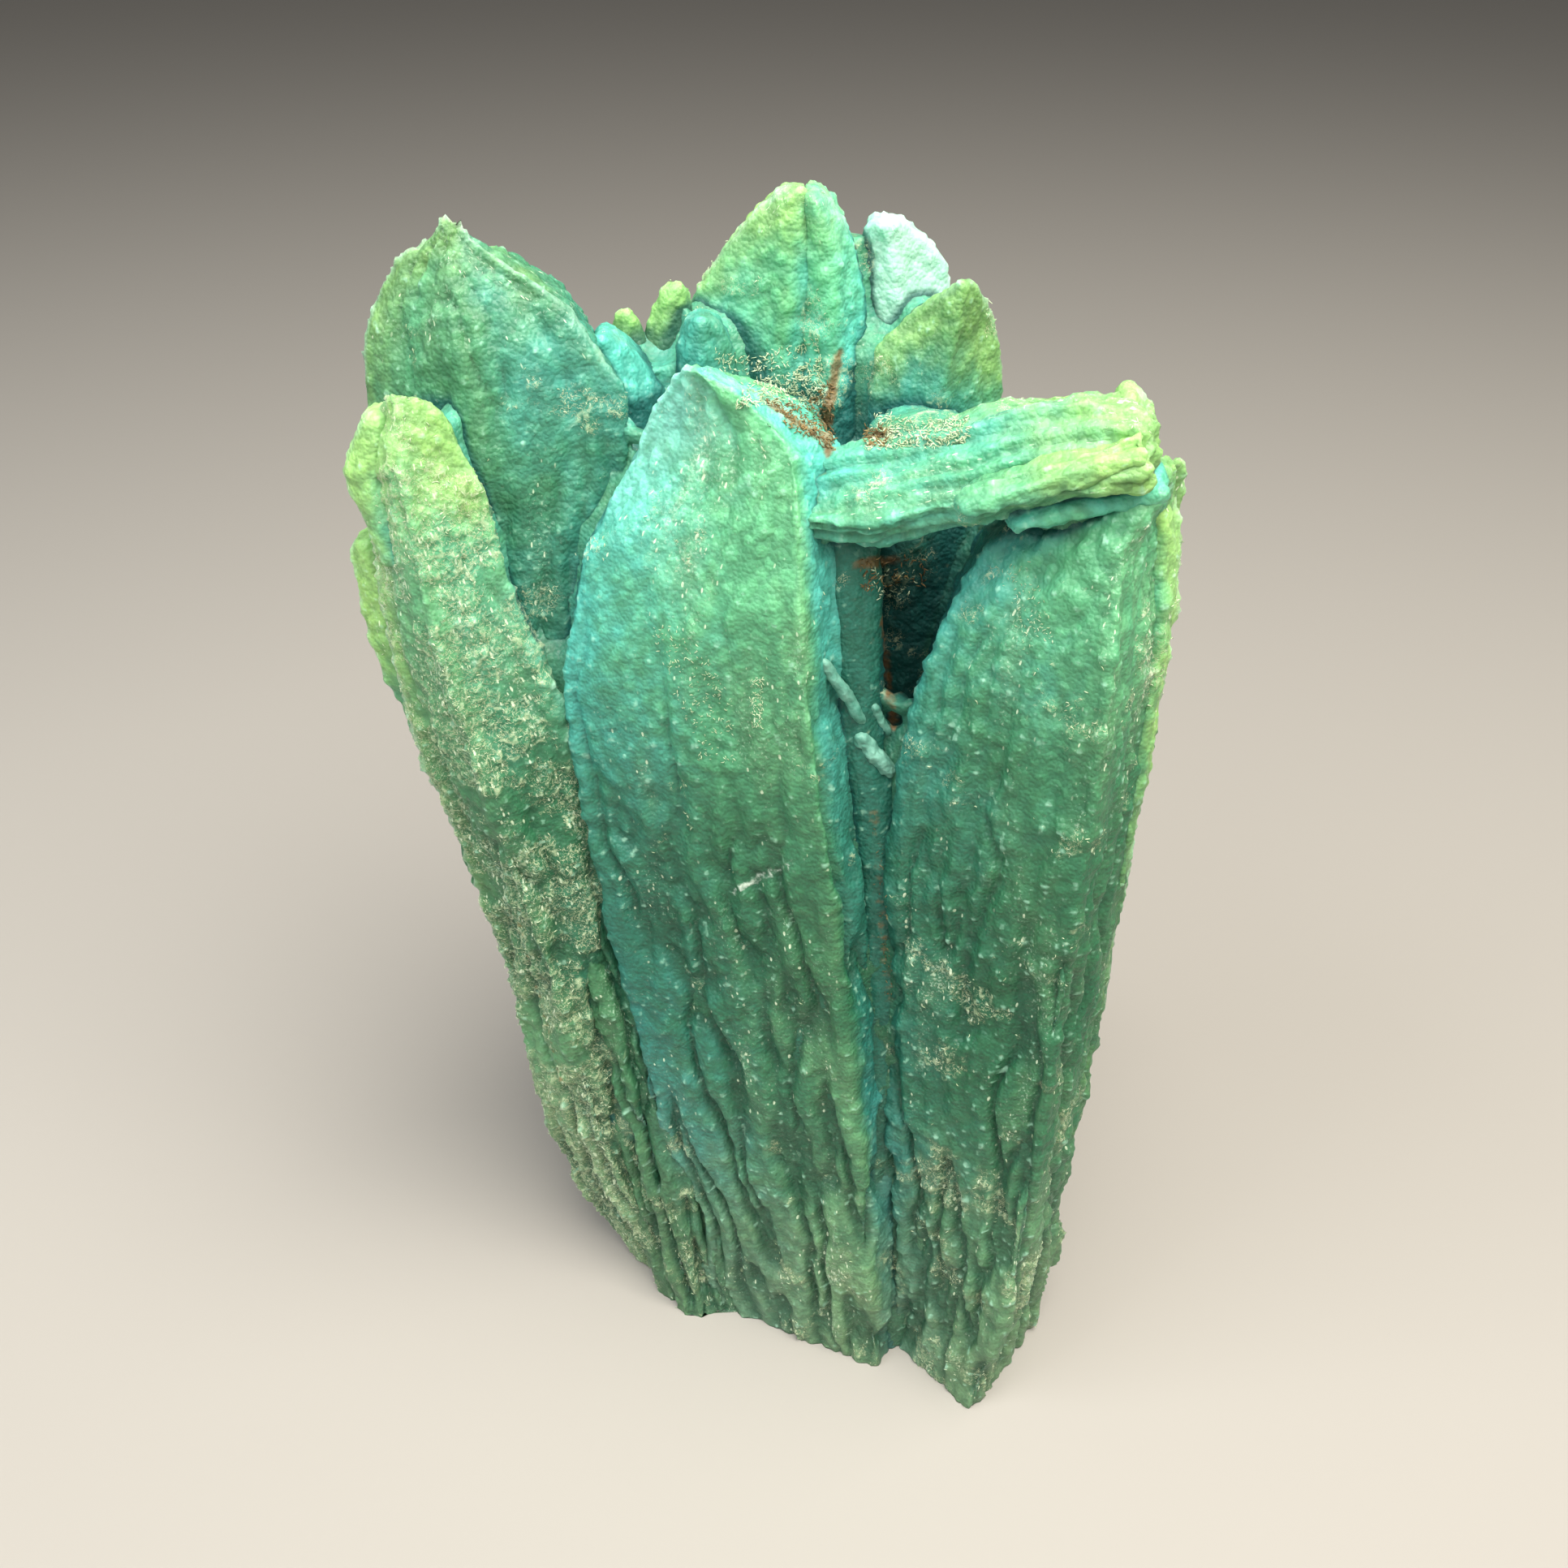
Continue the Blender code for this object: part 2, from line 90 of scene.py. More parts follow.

# Each blade: slices (height, left edge, arris, right edge), the arris's depth at the
# foot and at the top, how far the two edges lie behind it, and the blade's thickness,
# with the power by which it thins to its tip and how far the tip leans back. Then come
# the spacing of its mesh, the strength of its ribs, globules, crumbs and lumps, and how
# much of it is teal, yellow-green, pale cyan that is partly a painted highlight,
# pale, or darkened all over by painted shade.
BLADES = {
    "front_centre": dict(
        slices=[
            (0, -2.2, 2.9, 3.9), (4.4, -3.0, 2.6, 3.6), (9.7, -4.0, 2.1, 3.2),
            (14.5, -4.6, 1.6, 2.9), (19.3, -5.2, 1.1, 2.3), (23.5, -5.4, 0.6, 1.6),
            (26.8, -4.7, 0.35, 1.4), (28.6, -3.6, 0.3, 1.5), (29.6, -3.1, 0.2, 1.2),
            (30.2, -2.85, -0.1, 0.4), (30.7, -2.65, -0.7, -0.4), (31.1, -2.45, -1.4, -1.1),
            (31.35, -2.25, -1.95, -1.6),
        ],
        front=(-5.0, -4.8), edges=(2.4, 1.5), thick=6.4, wedge=1.2, lean=0.23, mesh=FINE,
        ribs=1.0, globules=0.15, crumbs=-0.05, lumps=0.8, painted_shade=0.15,
        teal=(0.85, -0.05, 0.85), frost_and_highlight=1.35, lime=(0, 0, 0),
    ),
    "front_right": dict(
        slices=[
            (0, 3.4, 5.7, 8.2), (5, 3.2, 6.5, 8.4), (12, 2.8, 6.7, 8.6),
            (19, 2.5, 6.8, 8.9), (22.4, 2.75, 6.9, 9.0), (24.6, 3.2, 6.9, 9.0),
            (26.3, 3.7, 6.9, 8.9), (27.5, 4.3, 6.9, 8.8), (28.4, 5.0, 7.0, 8.8),
            (29.1, 5.6, 7.3, 8.7), (29.6, 6.3, 7.6, 8.5), (29.95, 7.0, 7.8, 8.2),
        ],
        front=(-6.7, -6.9), edges=(2.6, 3.4), thick=6.9, wedge=1.4, lean=0.24, mesh=FINE,
        ribs=0.9, globules=0.6, crumbs=0.15, lumps=0.8, painted_shade=0.45,
        teal=(0.7, 0.0, 0.0), lime=(0.1, 0, 0.9),
    ),
    "left_tall": dict(
        slices=[
            (0, -4.2, -3.0, -1.0), (10, -6.4, -4.5, -2.0), (20, -8.4, -6.5, -3.4),
            (25, -9.5, -7.2, -4.0), (28.2, -9.9, -7.2, -3.6), (30, -9.8, -7.1, -3.5),
            (31, -9.6, -7.2, -4.1), (31.8, -9.3, -7.3, -4.7), (32.4, -8.9, -7.3, -5.5),
            (32.9, -8.4, -7.3, -6.3), (33.25, -7.8, -7.25, -6.8), (33.65, -7.45, -7.25, -7.0),
        ],
        front=(-3.4, -1.2), edges=(1.5, 0.35), thick=4.4, wedge=1.4, lean=0.2, mesh=FINE,
        ribs=1.4, globules=0.15, crumbs=0.1, lumps=0.8, rib_width=0.7, painted_shade=0.8,
        teal=(-0.2, -0.1, 0.6), lime=(0.5, 0.7, 0.1),
    ),
    "left_tall_flank": dict(
        slices=[
            (8, -4.0, -3.0, -1.9), (15, -4.4, -3.4, -2.2), (28, -4.5, -3.6, -2.6),
            (29.5, -4.5, -3.7, -2.8), (30.4, -4.5, -4.0, -3.4), (31, -4.5, -4.2, -3.9),
        ],
        front=(0.3, -0.2), edges=(0.5, 0.9), thick=3.0, mesh=FINE,
        ribs=0.3, globules=0.2, crumbs=0.0, teal=(0.7, 0.7, 0.8), lime=(0, 0, 0), painted_shade=0.3,
    ),
    "left_front": dict(
        slices=[
            (0, -5.2, -3.4, -1.4), (4.1, -6.9, -4.6, -2.4), (8, -7.6, -5.6, -3.6),
            (13.2, -7.9, -6.2, -4.0), (17.7, -8.6, -6.9, -4.3), (21.6, -9.4, -7.6, -5.0),
            (25.3, -9.7, -8.1, -6.3), (27.6, -9.6, -8.3, -6.7), (28.9, -9.6, -8.4, -7.0),
            (29.6, -9.2, -8.4, -7.2), (30.2, -8.8, -8.3, -7.5), (30.6, -8.6, -8.4, -8.0),
        ],
        front=(-1.9, -4.1), edges=(1.5, 1.0), thick=4.6, wedge=1.8, lean=0.25, mesh=FINE,
        ribs=0.8, globules=0.3, crumbs=1.0, teal=(-0.5, -0.3, 0.3), lime=(1, 0.9, 0.3), painted_shade=0.3,
    ),
    "left_lobe": dict(
        slices=[
            (26.2, -9.3, -9.0, -8.4), (27.4, -9.7, -9.2, -8.4), (28.6, -10.0, -9.4, -8.4),
            (29.3, -9.7, -9.2, -8.4), (30.1, -9.2, -8.9, -8.5),
        ],
        front=(-2.7, -2.7), edges=(0.5, 0.5), thick=1.7, mesh=FINE,
        ribs=0.3, globules=0.2, crumbs=0.2,
    ),
    "right_foot_chip": dict(
        slices=[
            (1.4, 7.2, 7.8, 8.2), (2.8, 7.2, 8.0, 8.7), (4.2, 7.2, 8.0, 8.75),
            (4.7, 7.3, 7.9, 8.3),
        ],
        front=(-3.5, -3.5), edges=(0.4, 0.5), thick=1.8, mesh=FINE,
        ribs=0.8, globules=0.3, crumbs=0.1, teal=(0, 0, 0), lime=(0.2, 0.1, 0.2), painted_shade=0.5,
    ),
    "left_sliver": dict(
        slices=[
            (16.0, -8.65, -8.45, -8.2), (17.6, -8.85, -8.55, -8.15), (19.5, -9.2, -8.8, -8.2),
            (21.2, -9.7, -9.1, -8.4), (22.5, -10.1, -9.4, -8.5),
            (24.2, -10.4, -9.6, -8.6), (26, -10.5, -9.8, -8.8), (26.5, -10.3, -9.9, -9.4),
        ],
        front=(-1.0, -1.6), edges=(0.4, 0.6), thick=1.8, mesh=FINE,
        ribs=0.3, globules=0.4, crumbs=0.1,
    ),
    "back_centre": dict(
        slices=[
            (14, -3.5, -0.4, 0.8), (20, -3.3, -0.4, 0.8), (28.7, -2.75, -0.2, 0.8),
            (30.7, -2.45, 0.0, 0.8), (31.2, -2.2, 0.1, 0.8), (32, -1.65, 0.1, 0.8),
            (32.9, -1.0, 0.1, 0.75), (33.4, -0.5, 0.1, 0.7), (33.85, 0.0, 0.25, 0.55),
        ],
        front=(1.0, 1.6), edges=(1.1, 0.45), thick=4.2, mesh=FINE,
        ribs=0.25, globules=0.1, crumbs=0.1, lumps=0.7, painted_shade=0.35,
        teal=(0.2, 0.2, 0.6), lime=(0.7, 0.3, 0),
    ),
    "back_centre_rib": dict(
        slices=[
            (14, 0.35, 1.2, 2.2), (28.7, 0.35, 1.2, 2.1), (31.2, 0.35, 1.2, 1.95),
            (32.2, 0.35, 1.1, 1.75), (32.9, 0.35, 0.95, 1.45), (33.4, 0.35, 0.8, 1.15),
            (33.75, 0.4, 0.65, 0.9),
        ],
        front=(0.9, 1.45), edges=(0.5, 0.8), thick=4.0, mesh=FINE,
        ribs=0.3, globules=0.3, crumbs=0.2, teal=(0.2, 0.3, 0.6), lime=(0.5, 0, 0), painted_shade=0.2,
    ),
    "back_centre_bud": dict(
        slices=[
            (20, -2.6, -1.9, -1.1), (29.5, -2.6, -1.9, -1.0), (30.4, -2.6, -1.9, -1.1),
            (31, -2.4, -1.9, -1.4), (31.3, -2.2, -1.95, -1.7),
        ],
        front=(0.2, 0.2), edges=(0.6, 0.6), thick=2.0, mesh=FINE,
        ribs=0.2, globules=0.2, crumbs=0.1, teal=(0.9, 0.6, 0.6), lime=(0, 0, 0), painted_shade=0.6,
    ),
    "back_right_pale": dict(
        slices=[
            (0, 1.6, 2.5, 3.4), (12, 1.3, 2.6, 4.0), (22, 1.2, 2.7, 4.4), (29.7, 1.5, 2.7, 4.3),
            (31.2, 1.6, 2.6, 4.1), (31.9, 1.7, 2.6, 3.9), (32.4, 1.8, 2.6, 3.45),
            (32.8, 1.9, 2.5, 3.0), (33.0, 2.1, 2.4, 2.7),
        ],
        front=(1.9, 2.2), edges=(0.7, 0.8), thick=3.0, mesh=FINE,
        ribs=0.5, globules=0.2, crumbs=0.2, teal=(0.9, 0.6, 0.6), lime=(0, 0, 0), pale=1.0,
    ),
    "back_right": dict(
        slices=[
            (14, 1.9, 3.3, 5.2), (20, 1.9, 3.4, 5.3), (28.1, 2.0, 3.6, 5.4),
            (29.2, 2.0, 3.7, 5.4), (30.2, 2.1, 3.8, 5.2), (31.05, 2.8, 4.0, 4.95),
            (31.7, 3.7, 4.1, 4.6), (32.1, 4.0, 4.15, 4.3),
        ],
        front=(0.2, 0.5), edges=(0.9, 1.1), thick=2.3, mesh=FINE,
        ribs=0.4, globules=0.2, crumbs=0.1, lumps=0.7, painted_shade=0.7,
        teal=(0.8, 0.45, 0.5), lime=(0.8, 0.3, 0.3),
    ),
    "back_left_bud": dict(
        slices=[
            (24, -3.7, -3.0, -2.0), (29.4, -3.7, -3.0, -2.0), (30.2, -3.5, -2.9, -2.05),
            (30.9, -3.25, -2.75, -2.1), (31.4, -2.95, -2.6, -2.25), (31.6, -2.75, -2.6, -2.4),
        ],
        front=(1.9, 1.9), edges=(0.3, 0.3), thick=1.1, mesh=FINE, bevel=0.15,
        ribs=0.2, globules=0.3, crumbs=0.1, teal=(-0.3, -0.3, 0), lime=(0.8, 0.6, 0.4),
    ),
    "back_left_knob": dict(
        slices=[
            (26, -4.4, -3.8, -3.0), (30.0, -4.3, -3.8, -3.2), (30.6, -4.2, -3.8, -3.4),
            (31.0, -4.0, -3.8, -3.6),
        ],
        front=(1.8, 1.8), edges=(0.3, 0.3), thick=1.1, mesh=FINE, bevel=0.15,
        ribs=0.2, globules=0.3, crumbs=0.1, teal=(-0.3, -0.3, 0), lime=(0.8, 0.6, 0.4),
    ),
    "right_edge_plate": dict(
        slices=[
            (14, 7.6, 8.1, 8.5), (22, 8.0, 8.5, 8.9), (26.5, 7.8, 8.4, 8.9),
            (28.2, 7.6, 8.2, 8.7), (29.6, 7.1, 7.6, 8.1), (30.6, 6.9, 7.3, 7.6),
            (31.2, 6.8, 7.1, 7.3),
        ],
        front=(-4.2, -4.85), edges=(0.1, 0.9), thick=1.9, mesh=FINE,
        ribs=0.5, globules=0.2, crumbs=0.1, teal=(0.2, 0.0, 0.0), lime=(0.9, 0.5, 1.0),
    ),
    "pocket_wall": dict(
        slices=[
            (0, 1.0, 2.4, 4.0), (18.5, 0.6, 2.4, 3.9), (20.6, 0.5, 2.1, 3.1),
            (22.0, 0.2, 1.8, 2.5), (26, 0.0, 1.4, 2.3), (27.5, 0.0, 1.2, 2.2),
            (28.5, 0.4, 1.0, 1.4),
        ],
        front=(-4.3, -3.6), edges=(0.8, 0.3), thick=3.4, mesh=MEDIUM,
        ribs=0.3, globules=0.1, crumbs=0.0, lumps=0.6, painted_shade=1.3,
        teal=(1.0, 1.0, 1.0), lime=(0, 0, 0),
    ),
    "rear_left": dict(
        slices=[
            (0, -5.2, -2.8, -1.0), (10, -6.6, -4.2, -1.6), (20, -7.8, -5.4, -2.6),
            (24, -7.9, -5.8, -3.4), (26.4, -7.2, -6.0, -4.6), (27.4, -6.5, -6.1, -5.6),
        ],
        front=(1.6, 2.2), edges=(1.6, 1.4), thick=4.6, mesh=MEDIUM,
        ribs=1.0, globules=0.5, crumbs=0.5,
    ),
    "rear_centre": dict(
        slices=[
            (0, -3.4, 0.2, 2.8), (12, -3.6, 0.0, 3.0), (21, -3.0, 0.2, 2.8),
            (24, -1.8, 0.4, 2.2), (25.6, -0.4, 0.4, 1.2),
        ],
        front=(2.4, 3.4), edges=(1.4, 1.4), thick=4.4, mesh=MEDIUM,
        ribs=1.0, globules=0.6, crumbs=0.3,
    ),
    "rear_right": dict(
        slices=[
            (0, 3.0, 5.6, 7.6), (10, 3.2, 6.0, 8.3), (20, 3.4, 6.4, 8.8),
            (25, 3.7, 6.6, 8.7), (27, 4.3, 6.6, 8.1), (28.2, 5.2, 6.6, 7.6),
            (28.7, 6.0, 6.6, 7.1),
        ],
        front=(-1.4, -2.0), edges=(1.6, 2.2), thick=5.2, mesh=MEDIUM,
        ribs=1.0, globules=0.6, crumbs=0.3,
    ),
    "rear_low_right": dict(
        slices=[
            (0, 1.6, 4.4, 7.2), (8, 2.0, 5.0, 8.0), (13, 3.0, 5.6, 7.9),
            (16.5, 4.6, 5.8, 7.0), (17.6, 5.5, 5.8, 6.2),
        ],
        front=(2.0, 3.4), edges=(1.2, 1.8), thick=4.0, mesh=MEDIUM,
        ribs=0.8, globules=0.6, crumbs=0.6,
    ),
    "rear_low_left": dict(
        slices=[
            (0, -4.2, -2.4, -0.4), (7, -5.2, -3.0, -0.8), (11, -4.8, -3.2, -1.8),
            (13.4, -3.8, -3.3, -2.8),
        ],
        front=(4.2, 4.6), edges=(1.0, 1.0), thick=2.6, mesh=MEDIUM,
        ribs=0.8, globules=0.6, crumbs=0.6,
    ),
    "saddle": dict(
        slices=[
            (14, -1.9, -0.4, 1.6), (28.0, -1.7, -0.4, 1.6), (28.8, -1.5, -0.4, 1.3),
            (29.3, -1.1, -0.4, 0.9),
        ],
        front=(-3.2, -3.2), edges=(0.6, 0.6), thick=4.6, wedge=0.6, mesh=MEDIUM,
        ribs=0.2, globules=0.3, crumbs=0.5, teal=(0.4, 0.4, 0.4), lime=(0, 0, 0), painted_shade=0.6,
    ),
    "saddle_right": dict(
        slices=[
            (14, 1.4, 3.0, 5.4), (27.8, 1.5, 3.0, 5.2), (28.7, 1.8, 3.2, 4.9),
            (29.1, 2.4, 3.4, 4.3),
        ],
        front=(-0.9, -0.9), edges=(0.6, 0.6), thick=2.4, wedge=0.6, mesh=MEDIUM,
        ribs=0.2, globules=0.3, crumbs=0.5, teal=(0.4, 0.4, 0.4), lime=(0, 0, 0), painted_shade=0.6,
    ),
}

# What the blades have grown on, which only the druse in the creases takes its shape from
HEART = dict(
    slices=[
        (0, -4.4, 1.0, 5.6), (10, -5.4, 1.2, 6.0), (15, -5.2, 1.2, 5.0), (18, -3.0, 0, 2),
    ],
    front=(-3.4, -1.0), edges=(1.9, 1.5), thick=7.0,
)

# Blades that lie across the upright ones: their slices run along the blade, which
# starts at a point, is tipped over about Y and then swung about Z, in degrees.
CROSSING = {
    "crossing": dict(
        slices=[
            (-0.8, -0.6, 0.3, 0.9), (0.3, -0.85, 0.4, 1.25), (1.2, -0.85, 0.4, 1.3),
            (3, -1.0, 0.3, 0.95), (4.4, -1.3, 0.2, 0.6), (5.6, -1.4, 0.1, 0.5),
            (6.6, -1.2, 0.1, 0.5), (7.0, -1.0, 0.1, 0.4),
        ],
        front=(-0.5, -3.6), edges=(1.2, 0.5), thick=2.6, mesh=FINE, rib_width=0.55, lumps=1.7,
        ribs=1.7, globules=0.2, crumbs=0.0, teal=(0.55, 0.3, 0.4), lime=(0.8, 0.6, 0.2), painted_shade=0.45,
        start=(0.85, -4.0, 28.75), tip=78, swing=-11,
    ),
    "crossing_plate": dict(
        slices=[
            (3.3, -0.3, 0.0, 0.5), (4.3, -0.5, 0.0, 0.5), (6.6, -0.4, 0.0, 0.5), (7.1, -0.2, 0.1, 0.4),
        ],
        front=(-1.0, -1.0), edges=(0.4, 0.4), thick=1.9, mesh=FINE, rib_width=0.6,
        ribs=1.5, globules=0.2, crumbs=0.0, painted_shade=0.4, start=(0.2, -3.1, 29.35), tip=81, swing=-2,
    ),
    "crossing_lip": dict(
        slices=[(3.3, -0.2, 0.1, 0.2), (4.0, -0.4, 0.1, 0.3), (7.2, -0.4, 0.1, 0.3)],
        front=(-0.9, -0.9), edges=(0.4, 0.3), thick=1.6, mesh=FINE, rib_width=0.6, lumps=2.2,
        ribs=1.3, globules=0.2, crumbs=0.0, painted_shade=0.4, start=(0.5, -4.75, 28.1), tip=70, swing=-5,
    ),
    "crossing_shelf": dict(
        slices=[(4.4, -0.2, 0.1, 0.2), (5.4, -0.5, 0.1, 0.45), (7.7, -0.3, 0.1, 0.4)],
        front=(-0.6, -0.6), edges=(0.4, 0.3), thick=1.9, mesh=FINE, rib_width=0.6, lumps=1.2,
        ribs=1.0, globules=0.3, crumbs=0.0, teal=(0.6, 0.6, 0.6), lime=(0.3, 0, 0), pale=0.3,
        start=(0.5, -4.5, 27.35), tip=72, swing=-5,
    ),
}

# Iron stains: pixels of the photograph along each one, how wide it is in mm and how strong
RUST = [
    (((1034, 436), (1026, 480), (1018, 520), (1020, 556)), 0.24, 1.0),
    (((950, 500), (985, 520), (1020, 548)), 0.3, 0.75),
    (((1070, 540), (1090, 532)), 0.35, 0.8),
    (((1087, 764), (1094, 830), (1102, 895)), 0.2, 0.85),
    (((1058, 694), (1105, 690)), 0.24, 0.85),
    (((1078, 1000), (1085, 1110), (1097, 1230)), 0.2, 0.55),
    (((640, 1140), (668, 1240), (690, 1330)), 0.15, 0.6),
]

# White scuffs on the front blade, in the same way
SCUFFS = [
    (((905, 1098), (935, 1084), (976, 1064)), 0.13, 0.7),
    (((918, 1088), (950, 1072)), 0.1, 0.6),
]

# Pale rods beside the hollow: the pixels of their two ends, and their radius in mm
RODS = [
    ((1014, 812), (1066, 893), 0.15),
    ((1055, 903), (1100, 958), 0.21),
    ((1076, 868), (1095, 906), 0.12),
]
ROD_SIZES = (1.9, 1.08, 0.96, 1.05, 1.0, 0.95, 1.02, 0.55)  # each ring against the one before
ROD_SWAY = 0.03

# Crumbs in thick fringes: corners of the patch in pixels, how many, their length in mm
# and whether they are pale or stained
FRINGES = [
    (((905, 500), (925, 470), (960, 462), (1014, 440), (1016, 500), (960, 500)), 560, 0.1, "pale"),
    (((1066, 556), (1080, 505), (1130, 520), (1200, 512), (1190, 548), (1120, 552)), 560, 0.1, "pale"),
    (((880, 430), (925, 440), (1010, 415), (1010, 430), (940, 462), (890, 462)), 160, 0.1, "pale"),
    (((940, 492), (990, 500), (1022, 470), (1030, 558), (985, 535)), 420, 0.11, "stained"),
    (((1056, 684), (1139, 688), (1139, 722), (1060, 726)), 80, 0.13, "stained"),
    (((1064, 700), (1130, 700), (1120, 740), (1070, 742)), 60, 0.1, "pale"),
    (((1070, 1000), (1086, 1000), (1102, 1230), (1090, 1230)), 70, 0.07, "stained"),
    (((800, 772), (838, 766), (902, 850), (905, 940), (862, 936)), 220, 0.07, "pale"),
    (((925, 835), (940, 835), (940, 897), (926, 897)), 110, 0.07, "pale"),
    (((1230, 700), (1275, 690), (1300, 790), (1262, 800)), 120, 0.06, "pale"),
    (((1066, 528), (1092, 528), (1092, 550), (1066, 550)), 100, 0.13, "stained"),
]
WORMS = 13000  # pale worms over all the surface, where crumbs were noted


def hex_colour(code):
    """An sRGB hex value as the linear colour that a socket takes."""
    channels = [int(code[i : i + 2], 16) / 255 for i in (1, 3, 5)]
    return tuple(c / 12.92 if c <= 0.04045 else ((c + 0.055) / 1.055) ** 2.4 for c in channels) + (1.0,)


def add_node(tree, kind, inputs=None, **settings):
    """Adds a node with its settings. An input is a value, a node, or a socket to link."""
    node = tree.nodes.new(kind)
    for name, value in settings.items():
        setattr(node, name, value)
    for name, value in (inputs or {}).items():
        if isinstance(value, bpy.types.Node):
            value = next(s for s in value.outputs if s.enabled)
        if isinstance(value, bpy.types.NodeSocket):
            tree.links.new(value, node.inputs[name])
        else:
            node.inputs[name].default_value = value
    return node


def section(blade, row, widest):
    """A blade's outline at a slice: two faces that meet at the arris, and a narrower back."""
    height, left, arris, right = row
    foot, top = blade["front"]
    narrowing = (right - left) / widest
    depth = blade["thick"] * min(1.0, narrowing / WEDGE_FROM) ** blade.get("wedge", USUAL_WEDGE)
    near = foot + (top - foot) * height / HEIGHT + blade.get("lean", 0.0) * (blade["thick"] - depth)
    behind_left, behind_right = (e * min(1.0, EDGE_FOLLOWS * narrowing) for e in blade["edges"])
    side = BACK_INSET * (right - left)
    return [
        Vector((left, near + behind_left, height)),
        Vector((arris, near, height)),
        Vector((right, near + behind_right, height)),
        Vector((right - side, near + depth, height)),
        Vector((left + side, near + depth, height)),
    ]


def move_ring(body, before, after):
    """Moves the selected ring's corners from one slice's places to the next one's."""
    shape = bmesh.from_edit_mesh(body.data)
    for vertex in [v for v in shape.verts if v.select]:
        nearest = min(range(len(before)), key=lambda i: (before[i] - vertex.co).length)
        vertex.co = after[nearest]
    bmesh.update_edit_mesh(body.data)


def cage(name, blade):
    """Draws a five-sided ring up from the foot of a blade, one slice at a time."""
    rows = list(blade["slices"])
    widest = max(row[3] - row[1] for row in rows)
    rings = [section(blade, row, widest) for row in rows]
    if rows[0][0] == 0:
        rings.insert(0, [corner - Vector((0, 0, UNDER_FLOOR)) for corner in rings[0]])
    bpy.ops.object.select_all(action="DESELECT")
    bpy.ops.mesh.primitive_circle_add(vertices=len(rings[0]), radius=1.0, fill_type="NGON")
    body = bpy.context.object
    body.name = body.data.name = name
    bpy.ops.object.mode_set(mode="EDIT")
    bpy.ops.mesh.select_all(action="SELECT")
    start = [v.co.copy() for v in bmesh.from_edit_mesh(body.data).verts]
    order = sorted(start, key=lambda p: math.atan2(p.y, -p.x) % math.tau, reverse=True)
    move_ring(body, [order[-1]] + order[:-1], rings[0])
    for before, after in zip(rings, rings[1:]):
        bpy.ops.mesh.extrude_region_move()
        move_ring(body, before, after)
    bpy.ops.mesh.select_all(action="SELECT")
    bpy.ops.mesh.normals_make_consistent(inside=False)
    bpy.ops.object.mode_set(mode="OBJECT")
    bevel = blade.get("bevel", ARRIS_BEVEL)
    apply_modifier(body, "BEVEL", width=bevel, segments=2, limit_method="ANGLE", angle_limit=0.4)
    return body


def apply_modifier(body, kind, **settings):
    modifier = body.modifiers.new(kind.title(), kind)
    for name, value in settings.items():
        setattr(modifier, name, value)
    bpy.context.view_layer.objects.active = body
    bpy.ops.object.modifier_apply(modifier=modifier.name)


def store(body, name, values, kind="FLOAT"):
    """Keeps one value per vertex under a name."""
    attribute = body.data.attributes.new(name, kind, "POINT")
    attribute.data.foreach_set("vector" if kind == "FLOAT_VECTOR" else "value", values.ravel())


def vertex_places(body):
    """The places of a piece's vertices, one row each."""
    places = np.empty(len(body.data.vertices) * 3, dtype=np.float32)
    body.data.vertices.foreach_get("co", places)
    return places.reshape(-1, 3)


def stored(body, name):
    """The values kept under a name, one per vertex."""
    values = np.empty(len(body.data.vertices), dtype=np.float32)
    body.data.attributes[name].data.foreach_get("value", values)
    return values


